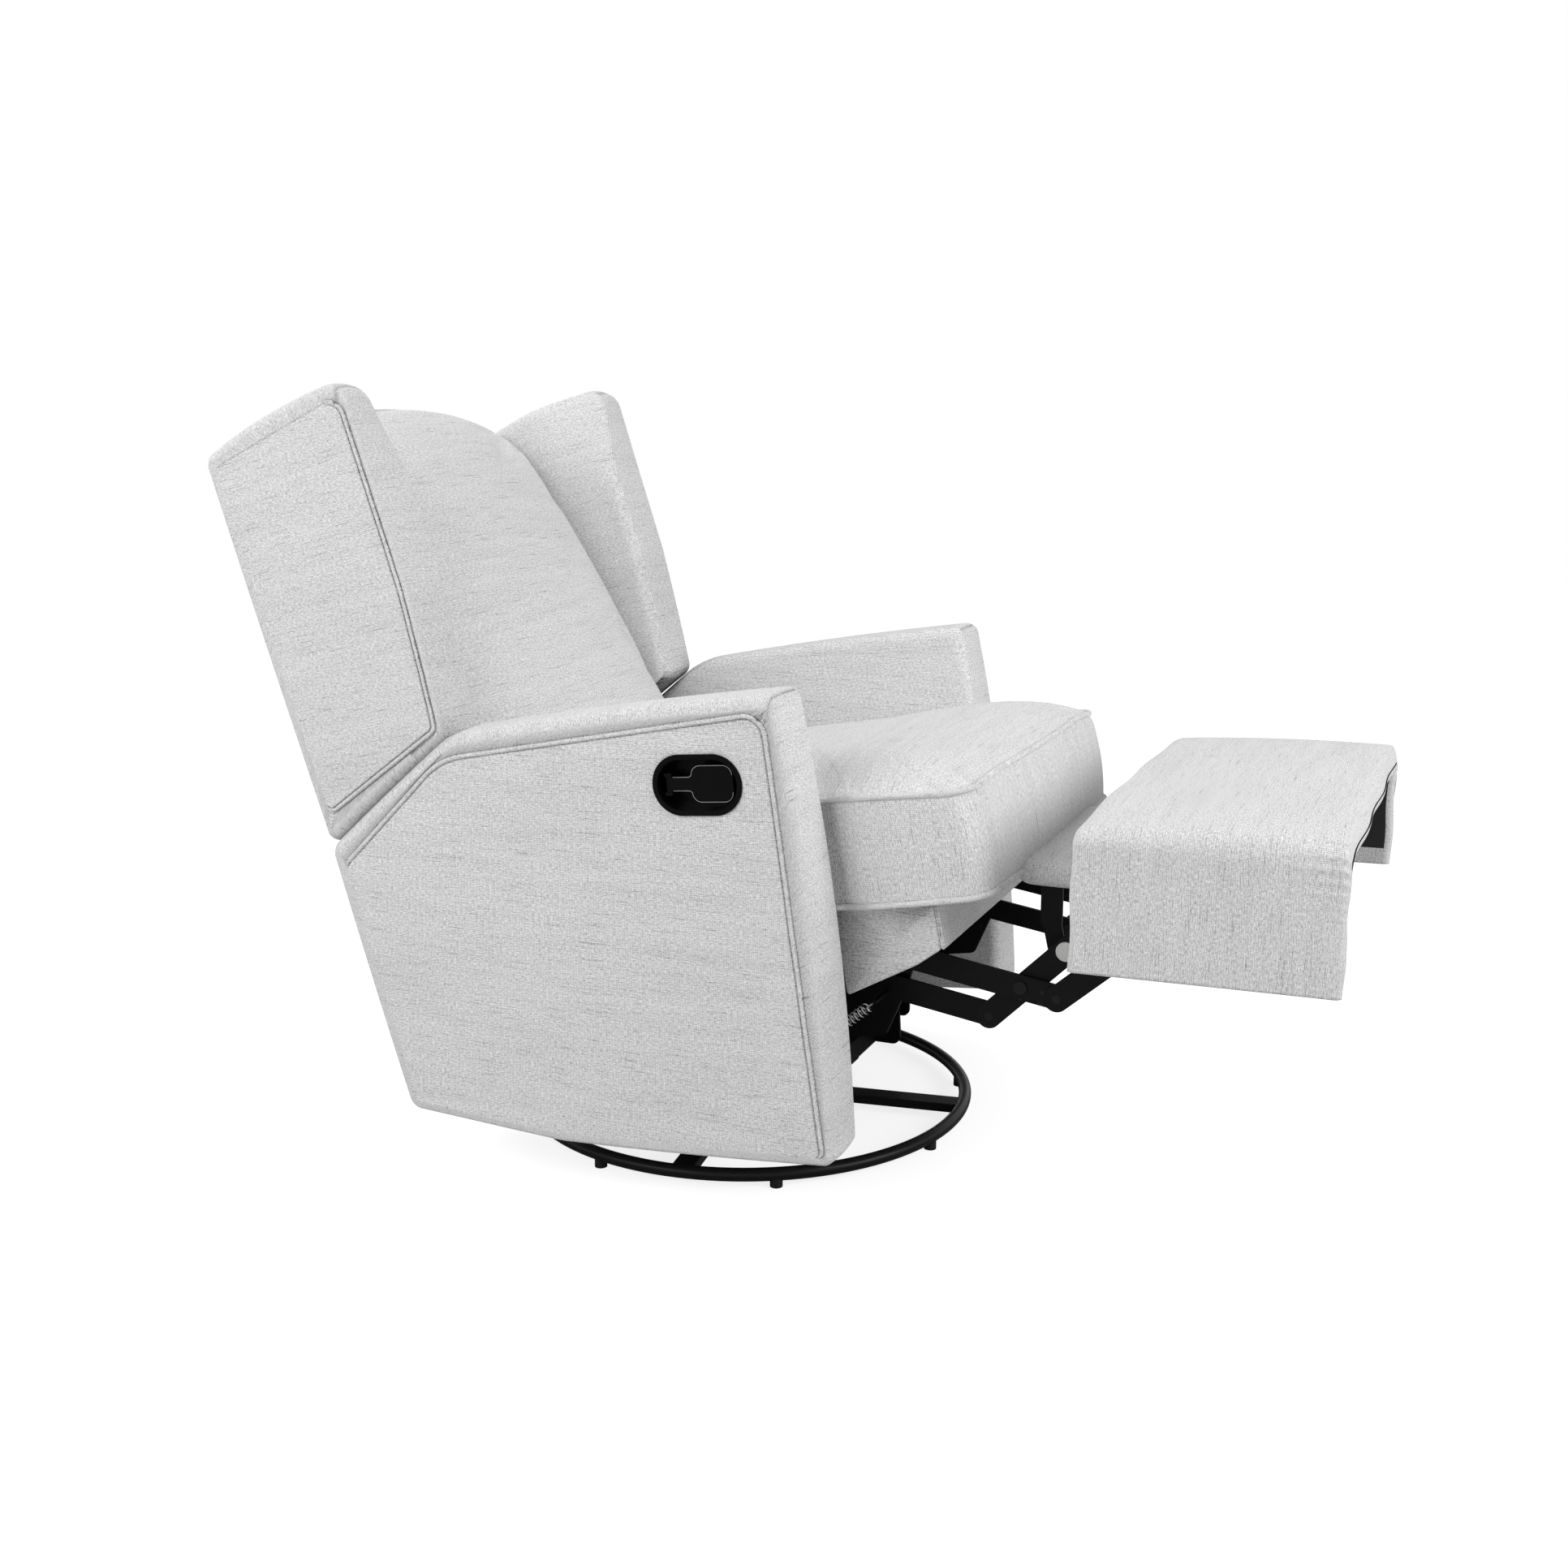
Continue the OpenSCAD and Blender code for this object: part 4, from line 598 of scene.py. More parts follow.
def slabPiece(name, values, side, seed, pocket=None, welt=weltValues):
    # The rings run from the middle of the outer face over the seam and the rounded edge to the middle of the
    # inner face. The seam has its own outline, and the outer face inside it shrinks towards its centre.
    perArc, perEdge, roundRows = 17, values["perEdge"], 9
    outer, inner, innerRound = values["outer"], values["inner"], values["innerRound"]
    flat, outerRound = np.zeros(len(values["corners"])), np.array(values["outerRound"])
    # A positive seam shade is a topstitched welt, a negative one a single drawn-in seam
    seamShade = np.array(values["seamShade"])
    single, shade, under, outerPoint = (perPoint(edges, perArc, perEdge) for edges in (
        np.maximum(-seamShade, 0), np.maximum(seamShade, 0), values["underShade"], outerRound))
    strength = np.clip(shade * 3, 0, 1)

    def outline(offsets):
        return softOutline(values["corners"], values["radii"], values["bows"], offsets, perArc, perEdge)

    def seamLine(inset):
        offsets = np.where(seamShade != 0, inset, 0.12 * inset)
        return softOutline(values["seamCorners"], values["seamRadii"], flat, offsets, perArc, perEdge)

    near = np.array(welt["rows"])
    last = seamLine(near[0])
    centre = last.mean(axis=0)
    spread = np.array([0.06, 0.14, 0.24, 0.34, 0.44, 0.54, 0.64, 0.73, 0.81, 0.88, 0.94])
    face = [centre + s * (last - centre) for s in spread]
    sunk, loose = np.zeros(len(spread)), np.ones(len(spread))
    if pocket:
        face, sunk, spread = pocketRows(pocket, last)
        loose = smoothSteps(spread, 0, 0.3) * (spread < 1)
    turn = np.linspace(0, np.pi / 2, roundRows)
    across = np.array([0.2, 0.4, 0.6, 0.8])
    planes = face + [seamLine(d) for d in near]
    planes += [outline(outerRound * (1 - math.sin(t))) for t in turn]
    planes += [outline(flat - welt["stripFill"] * 4 * t * (1 - t)) for t in across]
    planes += [outline(flat + innerRound * (1 - math.sin(t))) for t in turn[::-1]]
    planes += [centre + s * (planes[-1] - centre) for s in (0.96, 0.9, 0.82, 0.72, 0.6, 0.47, 0.34, 0.2, 0.08)]
    planes = np.array(planes)
    m, n = planes.shape[:2]
    # First rows of the seam, the outer round, the side, the inner round and the inner face
    seamRow, outerRow, sideRow, innerRow, faceRow = np.cumsum(
        [len(face), len(near), roundRows, len(across), roundRows])
    x = np.full((m, n), outer)
    x[:seamRow] -= sunk[:, None]
    x[outerRow:sideRow] = outer - outerPoint * (1 - np.cos(turn))[:, None]
    x[sideRow:innerRow] = outer - outerPoint - (outer - outerPoint - inner - innerRound) * across[:, None]
    x[innerRow:faceRow] = inner + innerRound * (1 - np.cos(turn[::-1]))[:, None]
    x[faceRow:] = inner
    # The welt is a low bead between two stitched grooves. Both faces are filled and a little uneven.
    grooves = np.exp(-((np.abs(near) - welt["grooveAt"]) / welt["grooveWidth"]) ** 2)
    height = welt["bead"] * np.exp(-(near / welt["beadWidth"]) ** 2) - welt["groove"] * grooves
    drawn = np.exp(-(near / welt["drawn"]) ** 2)[:, None] * single
    x[seamRow:outerRow] += height[:, None] * strength - welt["drawn"] * drawn
    wave = gentleWaves(planes[..., 0], planes[..., 1], welt["wave"], seed)
    x[:seamRow] += (welt["outerFill"] * (1 - spread ** 3) * loose)[:, None] + wave[:seamRow] * loose[:, None]
    x[seamRow:outerRow] += wave[seamRow:outerRow]
    x[faceRow:] -= welt["innerFill"] * smoothSteps(np.arange(m - faceRow), 0, 6)[:, None] + wave[faceRow:]
    # A seam crosses the strip over the front top corner, with painted shade along it
    per = perArc + perEdge
    spot = (values["topCorner"] * per + perArc // 2 - np.arange(n) + n // 2) % n - n // 2
    strip = (np.arange(m) >= outerRow - 5) & (np.arange(m) <= innerRow)
    cut = strip[:, None] * np.exp(-(spot / welt["cutPoints"]) ** 2)
    paintedShade = cut.copy()
    # Painted shade in the welt's grooves and along a drawn-in seam
    paintedShade[seamRow:outerRow] += grooves[:, None] * shade + drawn
    # Painted shade on the outer rounded edge where it lies close against another part, such as the wing's bottom
    # over the arm
    shaded = 2 * roundRows
    paintedShade[outerRow:outerRow + shaded] += smoothSteps(np.arange(shaded), 2, 8)[:, None] * under
    ahead = np.roll(planes, -1, axis=1) - np.roll(planes, 1, axis=1)
    normal = np.stack([ahead[..., 1], -ahead[..., 0]], -1)
    normal /= np.maximum(np.linalg.norm(normal, axis=-1), 1e-9)[..., None]
    outward = np.sign(np.sum(normal * (planes - centre), axis=(1, 2)))
    planes = planes - (welt["cut"] * cut)[..., None] * normal * outward[:, None, None]
    if values["taper"]:
        corner, top = np.array(values["corners"][1]), np.array(values["corners"][2])
        edge = unit(top - corner)
        depth = (planes[..., 0] - corner[0]) * edge[1] - (planes[..., 1] - corner[1]) * edge[0]
        narrow = 1 - smoothSteps(depth, *values["taperDepths"])
        narrow *= smoothSteps(planes[..., 1], *values["taperHeights"])
        x += values["taper"] * narrow * np.clip((outer - x) / (outer - inner), 0, 1)
    rings = np.concatenate([x[..., None] * side, planes], axis=-1)
    seam = np.ones((m, n))
    seam[seamRow:outerRow] = np.where(strength > 0.2, near[:, None], 1.0)
    return ringPiece(name, rings, values["weaveAxes"], runLengths(planes[sideRow - 1], closed=True),
                     runLengths(rings[:, int(2.5 * per)]), strip[:-1], seam, paintedShade)


for side, label in ((-1, "Right"), (1, "Left")):
    pocket = pocketValues if side < 0 else None
    upholster(slabPiece("arm" + label, armValues, side, 3 + side, pocket), "seat", "arm_" + label.lower())
    upholster(slabPiece("wing" + label, wingValues, side, 8 + side), "back", "wing_" + label.lower())
print("arms and wings sewn")


# Fine light grey beads along the rim of the release paddle, a painted highlight on its edges: neck, shoulder, round
# corner, top, round front corner

rimValues = {"plane": -0.3799, "bead": 0.00042, "neck": 0.0078, "neckEnd": 0.033, "shoulder": 0.0095,
             "top": 0.0208, "front": -0.041, "round": 0.011}


def paddleEdgeHighlights(values, pocket):
    c, s = math.cos(pocket["tilt"]), math.sin(pocket["tilt"])
    r, top, shoulder = values["round"], values["top"], values["shoulder"]
    a = np.linspace(0, np.pi / 2, 10)[:, None]
    rearArc = np.array([shoulder - r, top - r]) + r * np.hstack([np.cos(a), np.sin(a)])
    frontArc = np.array([values["front"] + r, top - r]) + r * np.hstack([-np.sin(a), np.cos(a)])
    neck = [(values["neckEnd"], values["neck"]), (shoulder + 0.003, values["neck"]),
            (shoulder, values["neck"] + 0.002)]
    upper = np.concatenate([neck, rearArc, frontArc])
    for turn, label in ((1, "Upper"), (-1, "Lower")):
        ahead, up = upper[:, 0], upper[:, 1] * turn
        path = np.stack([np.full(len(upper), values["plane"]), pocket["y"] + ahead * c + up * s,
                         pocket["z"] - ahead * s + up * c], -1)
        bead = tubePiece("paddleHighlightBead" + label, path, values["bead"], 6, (0.31, 0.42, 0.85))
        # The light grey beads are a painted highlight along the paddle's edges
        bead.data.materials.append(finishes["rimHighlightPlastic"])
        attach(bead, "lever")


paddleEdgeHighlights(rimValues, pocketValues)
print("paddle rims laid")


# Stuffing: cloth under pressure with no gravity

stuffingValues = {"frames": 20, "settings": {
    "quality": 6, "mass": 0.3, "tension_stiffness": 18, "compression_stiffness": 12, "shear_stiffness": 6,
    "bending_stiffness": 1.2, "use_pressure": True}}


def pointsOf(mesh):
    flat = np.zeros(len(mesh.vertices) * 3, dtype=np.float32)
    mesh.vertices.foreach_get("co", flat)
    return flat.reshape(-1, 3)


def simulatePad(piece, held, pressure, cap, values=stuffingValues):
    # Points stay by their share in held, and a move is rounded off so that none goes past the cap
    scene = bpy.context.scene
    start = pointsOf(piece.data)
    group = piece.vertex_groups.new(name="held")
    # The two points that close the ends are a held one and a free one
    weights = np.round(np.concatenate([held.ravel(), [1, 0]]), 1)
    for level in np.unique(weights):
        if level > 0:
            group.add(np.nonzero(weights == level)[0].tolist(), float(level), "REPLACE")
    sim = piece.modifiers.new("stuffing", "CLOTH")
    for key, value in values["settings"].items():
        setattr(sim.settings, key, value)
    sim.settings.uniform_pressure_force = pressure
    sim.settings.effector_weights.gravity = 0
    sim.settings.vertex_group_mass = "held"
    sim.collision_settings.use_collision = False
    sim.point_cache.frame_start = 1
    sim.point_cache.frame_end = values["frames"]
    for number in range(1, values["frames"] + 1):
        scene.frame_set(number)
    move = pointsOf(piece.evaluated_get(bpy.context.evaluated_depsgraph_get()).to_mesh()) - start
    size = np.linalg.norm(move, axis=1)
    print(piece.name, "moved", round(float(size.mean()) * 1000, 1), "mm on average,",
          round(float(size.max()) * 1000, 1), "most")
    move *= (cap * np.tanh(size / cap) / np.maximum(size, 1e-9))[:, None]
    piece.modifiers.clear()
    piece.vertex_groups.clear()
    piece.data.vertices.foreach_set("co", (start + move).ravel())
    piece.data.update()
    scene.frame_set(1)


# Seat cushion

seatValues = {
    "front": (-0.400, 0.404), "rake": math.radians(10.5), "frontRun": -0.026, "length": 0.630,
    "half": 0.293, "ear": 0.010, "neckRun": 0.172, "thick": 0.127, "crown": 0.034,
    "cornerRound": 0.034, "neckRound": 0.012, "earRound": 0.020, "rearRound": 0.020,
    "weltRadius": 0.0036, "weltOut": 0.0016, "pressure": 3.0, "cap": 0.006,
    "cornerDip": 0.006, "belly": 0.003, "footOut": 0.001, "sideSwell": 0.004, "contactShade": 0.7,
}


def onDeck(values, points):
    # Turns (x, run, rise) on the raked deck into the frame
    c, s = math.cos(values["rake"]), math.sin(values["rake"])
    run, rise = points[..., 1] + values["frontRun"], points[..., 2]
    return np.stack([points[..., 0], values["front"][0] + run * c + rise * s,
                     values["front"][1] - run * s + rise * c], -1)


def seatPlan(values):
    # Plan of the cushion: a rectangle with soft corners, a little wider ahead of the arms
    wide, half, neck, long = values["half"] + values["ear"], values["half"], values["neckRun"], values["length"]
    right = [(wide, 0), (wide, neck - 0.03), (half, neck), (half, long)]
    radii = [values[key] for key in ("cornerRound", "earRound", "neckRound", "rearRound")]
    corners = [(-wide, 0)] + right + [(-x, run) for x, run in right[:0:-1]]
    bows = [0.010, 0.002, 0, 0.001, 0.002, 0.001, 0, 0.002]
    return softOutline(corners, radii[:1] + radii + radii[:0:-1], bows, np.zeros(8), 12, 18)


def seatCushion(values):
    # Plan outlines scaled about the middle: underside, boxing with a slight swell, and a crown of 1 - s^5
    plan, middle = seatPlan(values), np.array([0, values["length"] / 2])
    thick, crown = values["thick"], values["crown"]
    under = np.array([0.06, 0.16, 0.28, 0.4, 0.52, 0.64, 0.75, 0.84, 0.91, 0.955, 0.98])
    wall = np.linspace(0, 1, 22)
    over = np.array([0.985, 0.965, 0.94, 0.905, 0.86, 0.80, 0.73, 0.65, 0.56, 0.46, 0.36, 0.26, 0.16, 0.07])
    sizes = np.concatenate([under, 0.994 + 0.006 * np.sin(np.pi * wall), over])
    rise = np.concatenate([np.zeros(len(under)), thick * wall, thick + crown * (1 - over ** 5)])
    rings = liftedRings(middle + sizes[:, None, None] * (plan - middle), rise)
    # Views of the rings: a change to one of the three changes them
    x, run, z = (rings[..., k] for k in range(3))
    low, high = len(under), len(under) + len(wall) - 1
    # Corners of the top dip where the boxing turns
    frontShare = 1 - smoothSteps(run, 0.0, 0.16)
    top = smoothSteps(z, 0.04, thick)
    z -= values["cornerDip"] * frontShare * smoothSteps(np.abs(x), 0.16, 0.30) * top
    # The front boxing bulges, lowest part most, and the sides follow a little
    belly = np.zeros((len(rise), 1))
    belly[low:high + 1, 0] = np.sin(np.pi * wall ** 0.8)
    run -= (values["belly"] * belly + values["footOut"] * (1 - top)) * frontShare ** 2
    x *= 1 + values["sideSwell"] * belly * smoothSteps(np.abs(x), 0.25, 0.30) * (run < 0.15)
    row = np.arange(len(rise) - 1)
    # Painted shade darkens the cloth where the ear meets the arm
    contact = smoothSteps(np.abs(x), 0.286, 0.292) * np.exp(-((run - 0.174) / 0.008) ** 2)
    piece = ringPiece("seatCushion", onDeck(values, rings), seenFromAbove, runLengths(plan, closed=True),
                      runLengths(rings[:, 0]), (row >= low) & (row < high), paintedShade=values["contactShade"] * contact)
    # The underside stays, and the rear part lies against the back and the arms
    held = np.zeros(rings.shape[:2])
    held[:low] = 1
    held[low:high + 1] = 0.3
    held[low] = 0.9
    inArms = smoothSteps(run, 0.13, 0.19) * smoothSteps(np.abs(x), 0.270, 0.285)
    held = np.maximum(np.maximum(held, smoothSteps(run, 0.50, 0.60)), inArms)
    simulatePad(piece, held, values["pressure"], values["cap"])
    # Welts follow the settled edges of the boxing
    settled = pointsOf(piece.data)[:-2].reshape(rings.shape)
    centre = settled.mean(axis=(0, 1))
    for edge, label in ((low, "Low"), (high, "High")):
        path = settled[edge] + unit((settled[edge] - centre) * (1, 1, 0)) * values["weltOut"]
        upholster(tubePiece("seatWelt" + label, path, values["weltRadius"], 10, (0, 0, 1), closed=True), "seat")
    upholster(piece, "seat", "seat_cushion")


seatCushion(seatValues)
print("seat cushion stuffed")


# Back: cushion, rear panel and apron

backValues = {
    "low": (0.411, 0.234), "bend": (0.430, 0.426), "top": (0.584, 0.876), "thick": 0.046, "gap": 0.0006,
    "half": 0.2507, "lowZ": 0.314, "height": 0.628, "depth": 0.192, "edgeRound": 0.042, "crown": 0.028,
    "droop": 0.256, "pressure": 2.0, "cap": 0.007, "wave": 0.0012,
    # height share, depth share and crown share
    "rings": [(0, 0.5833, 0), (0.0159, 0.6458, 0.1), (0.1401, 0.7292, 0.15), (0.207, 0.8958, 0.3),
              (0.2357, 0.985, 0.6), (0.3153, 0.9583, 0.9), (0.4427, 0.8646, 1), (0.6019, 0.7292, 1),
              (0.7452, 0.5938, 0.9), (0.8567, 0.4583, 0.75), (0.9363, 0.3229, 0.6), (0.9809, 0.1979, 0.45),
              (1, 0.0938, 0.35)],
}


def panelLines(values):
    # The (y, z) corners of the rear panel's rear face and front face, and its upper direction and inward normal
    low, bend, top = (np.array(values[key]) for key in ("low", "bend", "top"))
    tail, upper = unit(bend - low), unit(top - bend)
    tailIn, upperIn = np.array([-tail[1], tail[0]]), np.array([-upper[1], upper[0]])
    front = [corner + values["thick"] * inward
             for corner, inward in ((low, tailIn), (bend, unit(tailIn + upperIn)), (top, upperIn))]
    return (low, bend, top), front, upper, upperIn


def backCushion(values):
    # Horizontal rings: the front is a crowned line 1 - x^2 with rounded edges, the rear follows the panel.
    # Depth and crown come from the table, averaged over a short window.
    table = np.array(values["rings"])
    share = np.concatenate([np.linspace(0, 0.9, 56)[:-1], 0.9 + 0.1 * np.sin(np.linspace(0, np.pi / 2, 20))])
    fine = np.linspace(0, 1, 1201)
    window = np.hanning(61)
    window /= window.sum()

    def smooth(column):
        raw = np.interp(fine, table[:, 0], column)
        soft = np.convolve(np.pad(raw, 30, mode="edge"), window, "valid")
        keep = smoothSteps(fine, 0.93, 0.99)
        return np.interp(share, fine, soft * (1 - keep) + raw * keep)

    depth, crown = smooth(table[:, 1]) * values["depth"], smooth(table[:, 2]) * values["crown"]
    z = values["lowZ"] + share * values["height"]
    front = 96
    t = np.linspace(-1, 1, front)
    x = np.sign(t) * (1 - (1 - np.abs(t)) ** 1.6)
    rowsX = np.concatenate([x, -x[::3]])
    topZ = values["top"][1]
    lift = np.maximum(0, (z - topZ) / (topZ - values["bend"][1]))
    height = z[:, None] - values["droop"] * lift[:, None] * rowsX ** 2
    _, (a, b, c), _, _ = panelLines(values)
    y = np.where(height < b[1], a[0] + (height - a[1]) * (b[0] - a[0]) / (b[1] - a[1]),
                 b[0] + (height - b[1]) * (c[0] - b[0]) / (c[1] - b[1])) - values["gap"]
    r = np.minimum(values["edgeRound"], depth / 2)[:, None]
    faceEdge = r * (1 - (1 - np.abs(x) ** 7) ** 0.6)
    y[:, :front] = y[:, :front] - depth[:, None] + faceEdge - crown[:, None] * (1 - x ** 2)
    y[:, :front] += gentleWaves(*np.meshgrid(x * 0.25, z), values["wave"], 5) * (1 - x ** 4)
    rings = np.stack([np.broadcast_to(rowsX * values["half"], y.shape), y, height], -1)
    piece = ringPiece("backCushion", rings, [[1, 0, 0], [0, 0.3, 0.95]])
    held = np.zeros(rings.shape[:2])
    held[:, front:] = 1
    held = np.maximum(held, smoothSteps(np.abs(rowsX), 0.97, 1.0)[None])
    held[share < 0.17] = 1
    simulatePad(piece, held, values["pressure"], values["cap"])
    upholster(piece, "back", "back_cushion")


backCushion(backValues)
print("back cushion stuffed")

shellValues = {"half": 0.2567, "tailHalf": 0.297, "crest": 0.022, "round": 0.010, "bendRound": 0.030,
               "crestRound": 0.008, "panelEdge": 0.006, "apronEdge": 0.008, "apronGap": 0.009,
               "panelLift": 0.0022, "apronLift": 0.0006, "wave": 0.0006}


def backPanel(values, back):
    # Two flat bodies: the panel over its full height with a crest, and a wider apron below the bend.
    # Their ends close in fans round a point from which every corner is seen.
    (low, bend, top), (a, b, c), upper, upperIn = panelLines(back)
    crest, r, lift = values["crest"], values["round"], values["panelLift"]
    drop = np.array([0, values["apronGap"]])
    panel = [low, bend, top, top + crest * upper + crest * upperIn, c + crest * upper, b, a]
    panelRound = [r, values["bendRound"], r, values["crestRound"], r, values["bendRound"], r]
    apron = [low, bend - drop, b - drop, a]
    for name, corners, radii, half, edge, lifts, heart, seed in (
            ("backPanel", panel, panelRound, values["half"], values["panelEdge"], [lift, lift, 0, 0, 0, 0, 0],
             (bend + b) / 2, 4),
            ("backApron", apron, [r] * 4, values["tailHalf"], values["apronEdge"],
             [values["apronLift"], 0, 0, 0], (low + b) / 2, 6)):
        x, rings = sweptOutline(corners, radii, -half, half, edge, 7, 42, 7, 22, np.array(lifts))
        rings[..., 1] += gentleWaves(rings[..., 0], rings[..., 2], values["wave"], seed)
        piece = ringPiece(name, rings, seenFromSide, runLengths(rings[20][:, 1:], closed=True), x,
                          np.ones(len(x) - 1, dtype=bool), ends=[(-half, *heart), (half, *heart)])
        upholster(piece, "back", "back_shell")


backPanel(shellValues, backValues)
print("back panel covered")


# Front band under the cushion

bandValues = {
    "frontRun": 0.0497, "thin": 0.006, "side": 0.010, "half": 0.2623, "rearRun": 0.175, "rearDrop": 0.112,
    "midRun": 0.081, "midDrop": 0.080, "frontDrop": 0.064, "gap": 0.005, "round": 0.004,
    "frontEdge": 0.0025, "sideEdge": 0.0035, "wave": 0.0008, "topShade": 0.9, "rearShade": 0.8,
}


def frontBand(values, seat):
    # A thin padded cloth band: a front strip across and a deeper return on each side
    deck = {"rake": seat["rake"], "front": seat["front"], "frontRun": 0.0}
    run, gap, half, end = values["frontRun"], values["gap"], values["half"], values["half"] + values["side"]

    def slab(name, outline, x0, x1, edge, seed, axes):
        x, rings = sweptOutline(outline, [values["round"]] * len(outline), x0, x1, edge, 6, 14, 5, 16)
        rings = onDeck(deck, rings)
        rings[..., 0] += gentleWaves(rings[..., 1], rings[..., 2], values["wave"], seed)
        # Painted shade darkens the cloth under the cushion and towards the arm
        depth = rings[..., 2] - rings[..., 2].max(axis=1, keepdims=True)
        shade = values["topShade"] * smoothSteps(depth, -0.012, -0.001)
        shade += values["rearShade"] * smoothSteps(rings[..., 1], -0.262, -0.238)
        upholster(ringPiece(name, rings, axes, paintedShade=np.minimum(shade, 1.2)), "seat", "seat_front_band")

    strip = [(run, -gap), (run - values["thin"], -gap), (run - values["thin"], -values["frontDrop"]),
             (run, -values["frontDrop"])]
    slab("bandFront", strip, -end + 0.001, end - 0.001, values["frontEdge"], 2, seenFromFront)
    panel = [(run, -gap), (values["rearRun"], -gap), (values["rearRun"], -values["rearDrop"]),
             (values["midRun"], -values["midDrop"]), (run, -values["frontDrop"])]
    for side, label in ((-1, "Right"), (1, "Left")):
        x0, x1 = sorted((side * (half - 0.0002), side * end))
        slab("bandSide" + label, panel, x0, x1, values["sideEdge"], 3, seenFromSide)


frontBand(bandValues, seatValues)
print("front band fitted")


# Footrest cover and middle pad

restValues = {
    "top": 0.500, "rear": -0.520, "length": 0.287, "half": 0.3115, "flap": 0.153, "flapThick": 0.014,
    "padThick": 0.031, "round": 0.020, "bow": 0.012, "hem": 0.013, "edge": 0.009,
    # Flaps: how far the foot flares at the front, and how far it hangs at the front and at the rear
    "flare": 0.003, "frontHang": 0.004, "rearHang": 0.010,
    # Gathers: spacing, and size across and in height; waver of the cut edges: along x and along z
    "gather": 0.0125, "gatherAcross": 0.0016, "gatherUp": 0.0014, "waverX": 0.0015, "waverZ": 0.001,
}


def restSection(values):
    # Outer and inner faces of the pad with a flap down each side, as (x, z) from the left foot to the right one
    half, top, drop, r = values["half"], values["top"], values["flap"], values["round"]
    a = np.linspace(0, np.pi / 2, 14)[1:-1]
    flapZ = top - drop + (drop - r) * np.linspace(0, 1, 40)
    left = np.concatenate([np.stack([np.full(40, -half), flapZ], -1),
                           np.stack([-half + r * (1 - np.cos(a)), top - r + r * np.sin(a)], -1)])
    across = np.stack([(half - r) * np.linspace(-1, 1, 90), np.full(90, top)], -1)
    outer = np.concatenate([left, across, left[::-1] * [-1, 1]])
    inside, under = -half + values["flapThick"], top - values["padThick"]
    innerLeft = np.stack([np.concatenate([np.full(40, inside), np.linspace(inside, inside + 0.004, 12)]),
                          np.concatenate([np.linspace(top - drop, under - 0.003, 40),
                                          np.linspace(under - 0.002, under, 12)])], -1)
    innerAcross = np.stack([np.linspace(inside + 0.005, -inside - 0.005, 90), np.full(90, under)], -1)
    return outer, np.concatenate([innerLeft, innerAcross, innerLeft[::-1] * [-1, 1]])


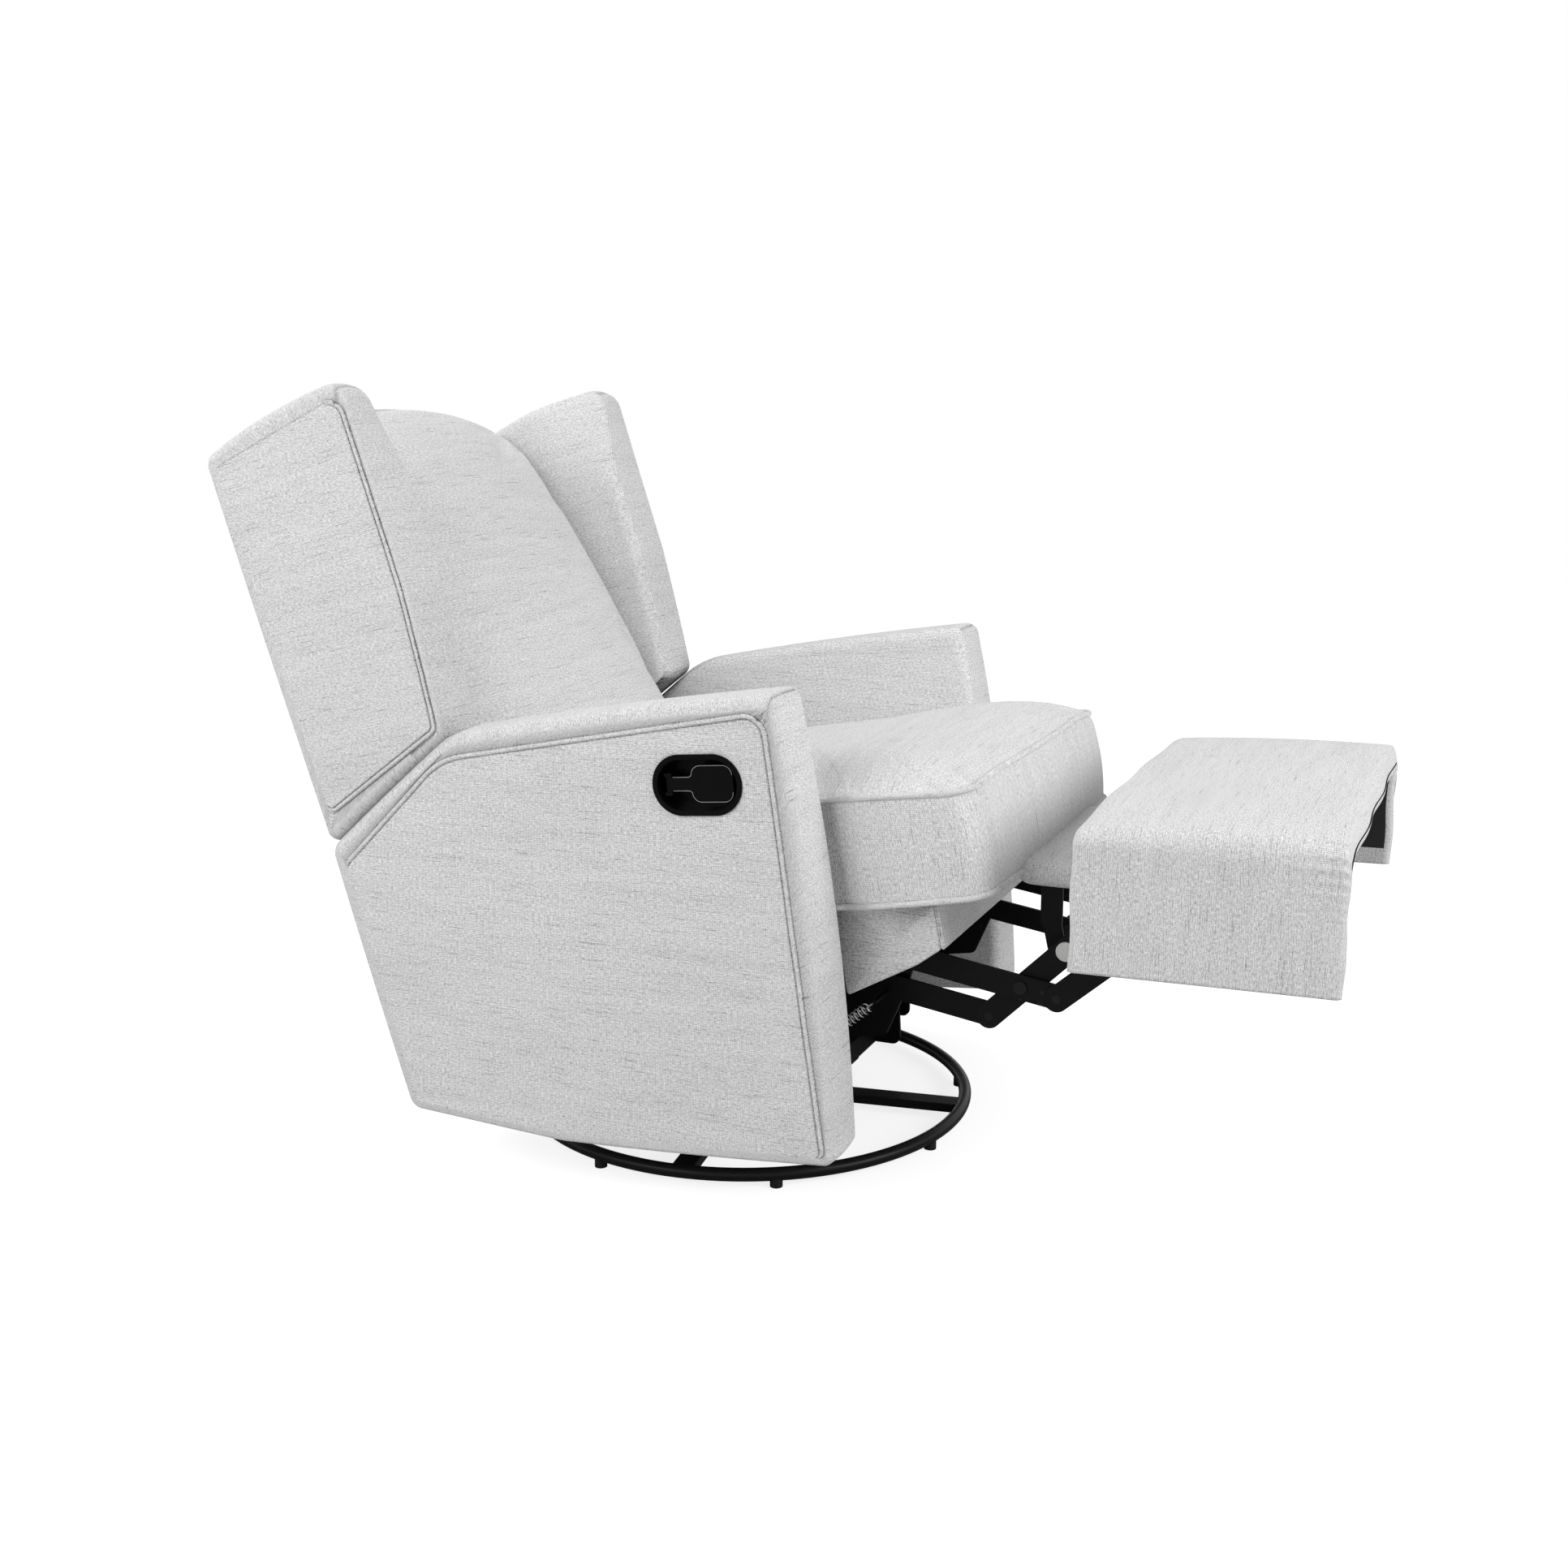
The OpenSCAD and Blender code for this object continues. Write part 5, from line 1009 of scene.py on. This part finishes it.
def footrestCover(values):
    # The section is carried from the rear edge to the front edge. Each end of the sweep draws the two faces
    # together in a quarter turn, but the waver differs between them, so a slit of about 1.5 mm is left there.
    half, top, drop, r, soft = (values[key] for key in ("half", "top", "flap", "round", "edge"))
    length, hem, pitch = values["length"], values["hem"], 2 * np.pi / values["gather"]
    outer, inner = restSection(values)
    middle = 0.5 * (outer + inner)
    turn = np.linspace(0, np.pi / 2, 9)
    stations = np.concatenate([soft * (1 - np.cos(turn)), np.linspace(soft, length - soft, 48)[1:-1],
                               length - soft * (1 - np.cos(turn[::-1]))])
    swell = np.concatenate([np.sin(turn), np.ones(46), np.sin(turn[::-1])])
    x, z = np.concatenate([outer, inner[::-1]]).T
    topShare = smoothSteps(outer[:, 1], top - r * 1.2, top)
    footShare = 1 - smoothSteps(outer[:, 1], top - drop, top - 0.05)
    rings = []
    for place, w in zip(stations, swell):
        share = place / length
        edge = 4 * share * (1 - share)
        o, b = middle + (outer - middle) * w, middle + (inner - middle) * w
        # The top is crowned from rear to front and across, and the flap's foot flares out towards the front
        across = values["bow"] * (1 - (outer[:, 0] / half) ** 4) * (0.8 + 0.3 * share)
        o[:, 1] += (across + 0.004 * edge - 0.005 + 0.009 * share) * topShare * w
        foot = np.stack([np.sign(outer[:, 0]) * footShare * (values["flare"] * share ** 2),
                         -footShare * (values["frontHang"] * share + values["rearHang"] * (1 - share))], -1)
        ring = np.concatenate([o + foot, (b + foot)[::-1]])
        # Small gathers fan over the front top corners, and the cut edges waver
        corner = np.exp(-((np.abs(x) - half) / 0.03) ** 2 - ((z - top + 0.02) / 0.030) ** 2)
        corner *= smoothSteps(share, 0.72, 1.0)
        ring[:, 0] += np.sign(x) * values["gatherAcross"] * corner * np.sin(pitch * z)
        ring[:, 1] += values["gatherUp"] * corner * np.sin(pitch * (z - np.abs(x)))
        waver = values["waverX"] * np.sin(x * 31 + 2 * share) * (1 - edge)
        waver += values["waverZ"] * np.sin(z * 74 + 1.3) * (1 - edge)
        rings.append(np.stack([ring[:, 0], values["rear"] - place + waver, ring[:, 1]], -1))
    rings = np.array(rings)
    m, n = rings.shape[:2]
    section = rings[m // 2]
    j, i, quads = gridFaces(m, n)
    # The weft runs over the pad and down the flaps, so u is the length along the section
    swept = runLengths(rings[:, len(outer) // 2])
    weave = gridValues(j, i, swept, runLengths(section, closed=True))[..., ::-1]
    piece = meshObject("footrestCover", rings.reshape(-1, 3), quads, noTriangles, [weave, noFans])
    for finish in ("wovenGreyCloth", "dustCloth"):
        piece.data.materials.append(finishes[finish])
    # Inside, the flaps and the pad are lined with black cloth up to a hem
    share = stations[j] / length
    lined = (i > len(outer)) & (i < n - 2) & (share > hem / length) & (share < 1 - hem / length)
    lined &= section[i, 2] > top - drop + hem
    piece.data.polygons.foreach_set("material_index", lined.astype(np.int32))
    closeSeams(piece)
    upholster(piece, "footrest", "footrest_cover")


def closeSeams(piece, distance=0.00002):
    # Joins the points of the sweep's ends that meet within the distance
    work = bmesh.new()
    work.from_mesh(piece.data)
    bmesh.ops.remove_doubles(work, verts=work.verts, dist=distance)
    bmesh.ops.dissolve_degenerate(work, edges=work.edges, dist=1e-7)
    work.to_mesh(piece.data)
    work.free()


footrestCover(restValues)

padValues = {"at": (-0.4685, 0.407), "wide": 0.354, "long": 0.088, "thick": 0.028, "crown": 0.008,
             "round": 0.016, "bow": 0.001, "lowEdge": 0.009, "topEdge": 0.013}


def middlePad(values):
    # A small pillow: underside, quarter-round lower and upper edges, and a crown of 1 - s^2
    size = np.array([values["wide"], values["long"]]) / 2
    low, high, thick = values["lowEdge"], values["topEdge"], values["thick"]
    plan = softOutline(size * [(-1, -1), (1, -1), (1, 1), (-1, 1)], [values["round"]] * 4, [values["bow"]] * 4,
                       np.zeros(4), 8, 26)
    turn = np.linspace(0, np.pi / 2, 7)
    under = np.array([0.1, 0.3, 0.5, 0.7, 0.84, 0.92])
    over = np.array([0.93, 0.85, 0.74, 0.6, 0.45, 0.3, 0.15])
    insets = np.concatenate([low * (1 - np.sin(turn)), [0, 0], high * (1 - np.cos(turn))])
    rise = np.concatenate([low * (1 - np.cos(turn)), [thick * 0.40, thick * 0.48],
                           thick - high + high * np.sin(turn)])
    sized = [plan * (1 - d / size) for d in insets]
    rows = [plan * (1 - low / size) * s for s in under] + sized + [sized[-1] * s for s in over]
    height = np.concatenate([np.zeros(len(under)), rise, thick + values["crown"] * (1 - over ** 2)])
    rings = liftedRings(rows, height)
    rings[..., 1:] += np.array(values["at"]) - (0, thick / 2)
    walls = np.zeros(len(height) - 1, dtype=bool)
    walls[len(under):len(under) + len(rise) - 5] = True
    upholster(ringPiece("middlePad", rings, seenFromAbove, runLengths(plan, closed=True), runLengths(rings[:, 0]),
                        walls), "long_links", "mid_ottoman")


middlePad(padValues)
print("footrest covered")
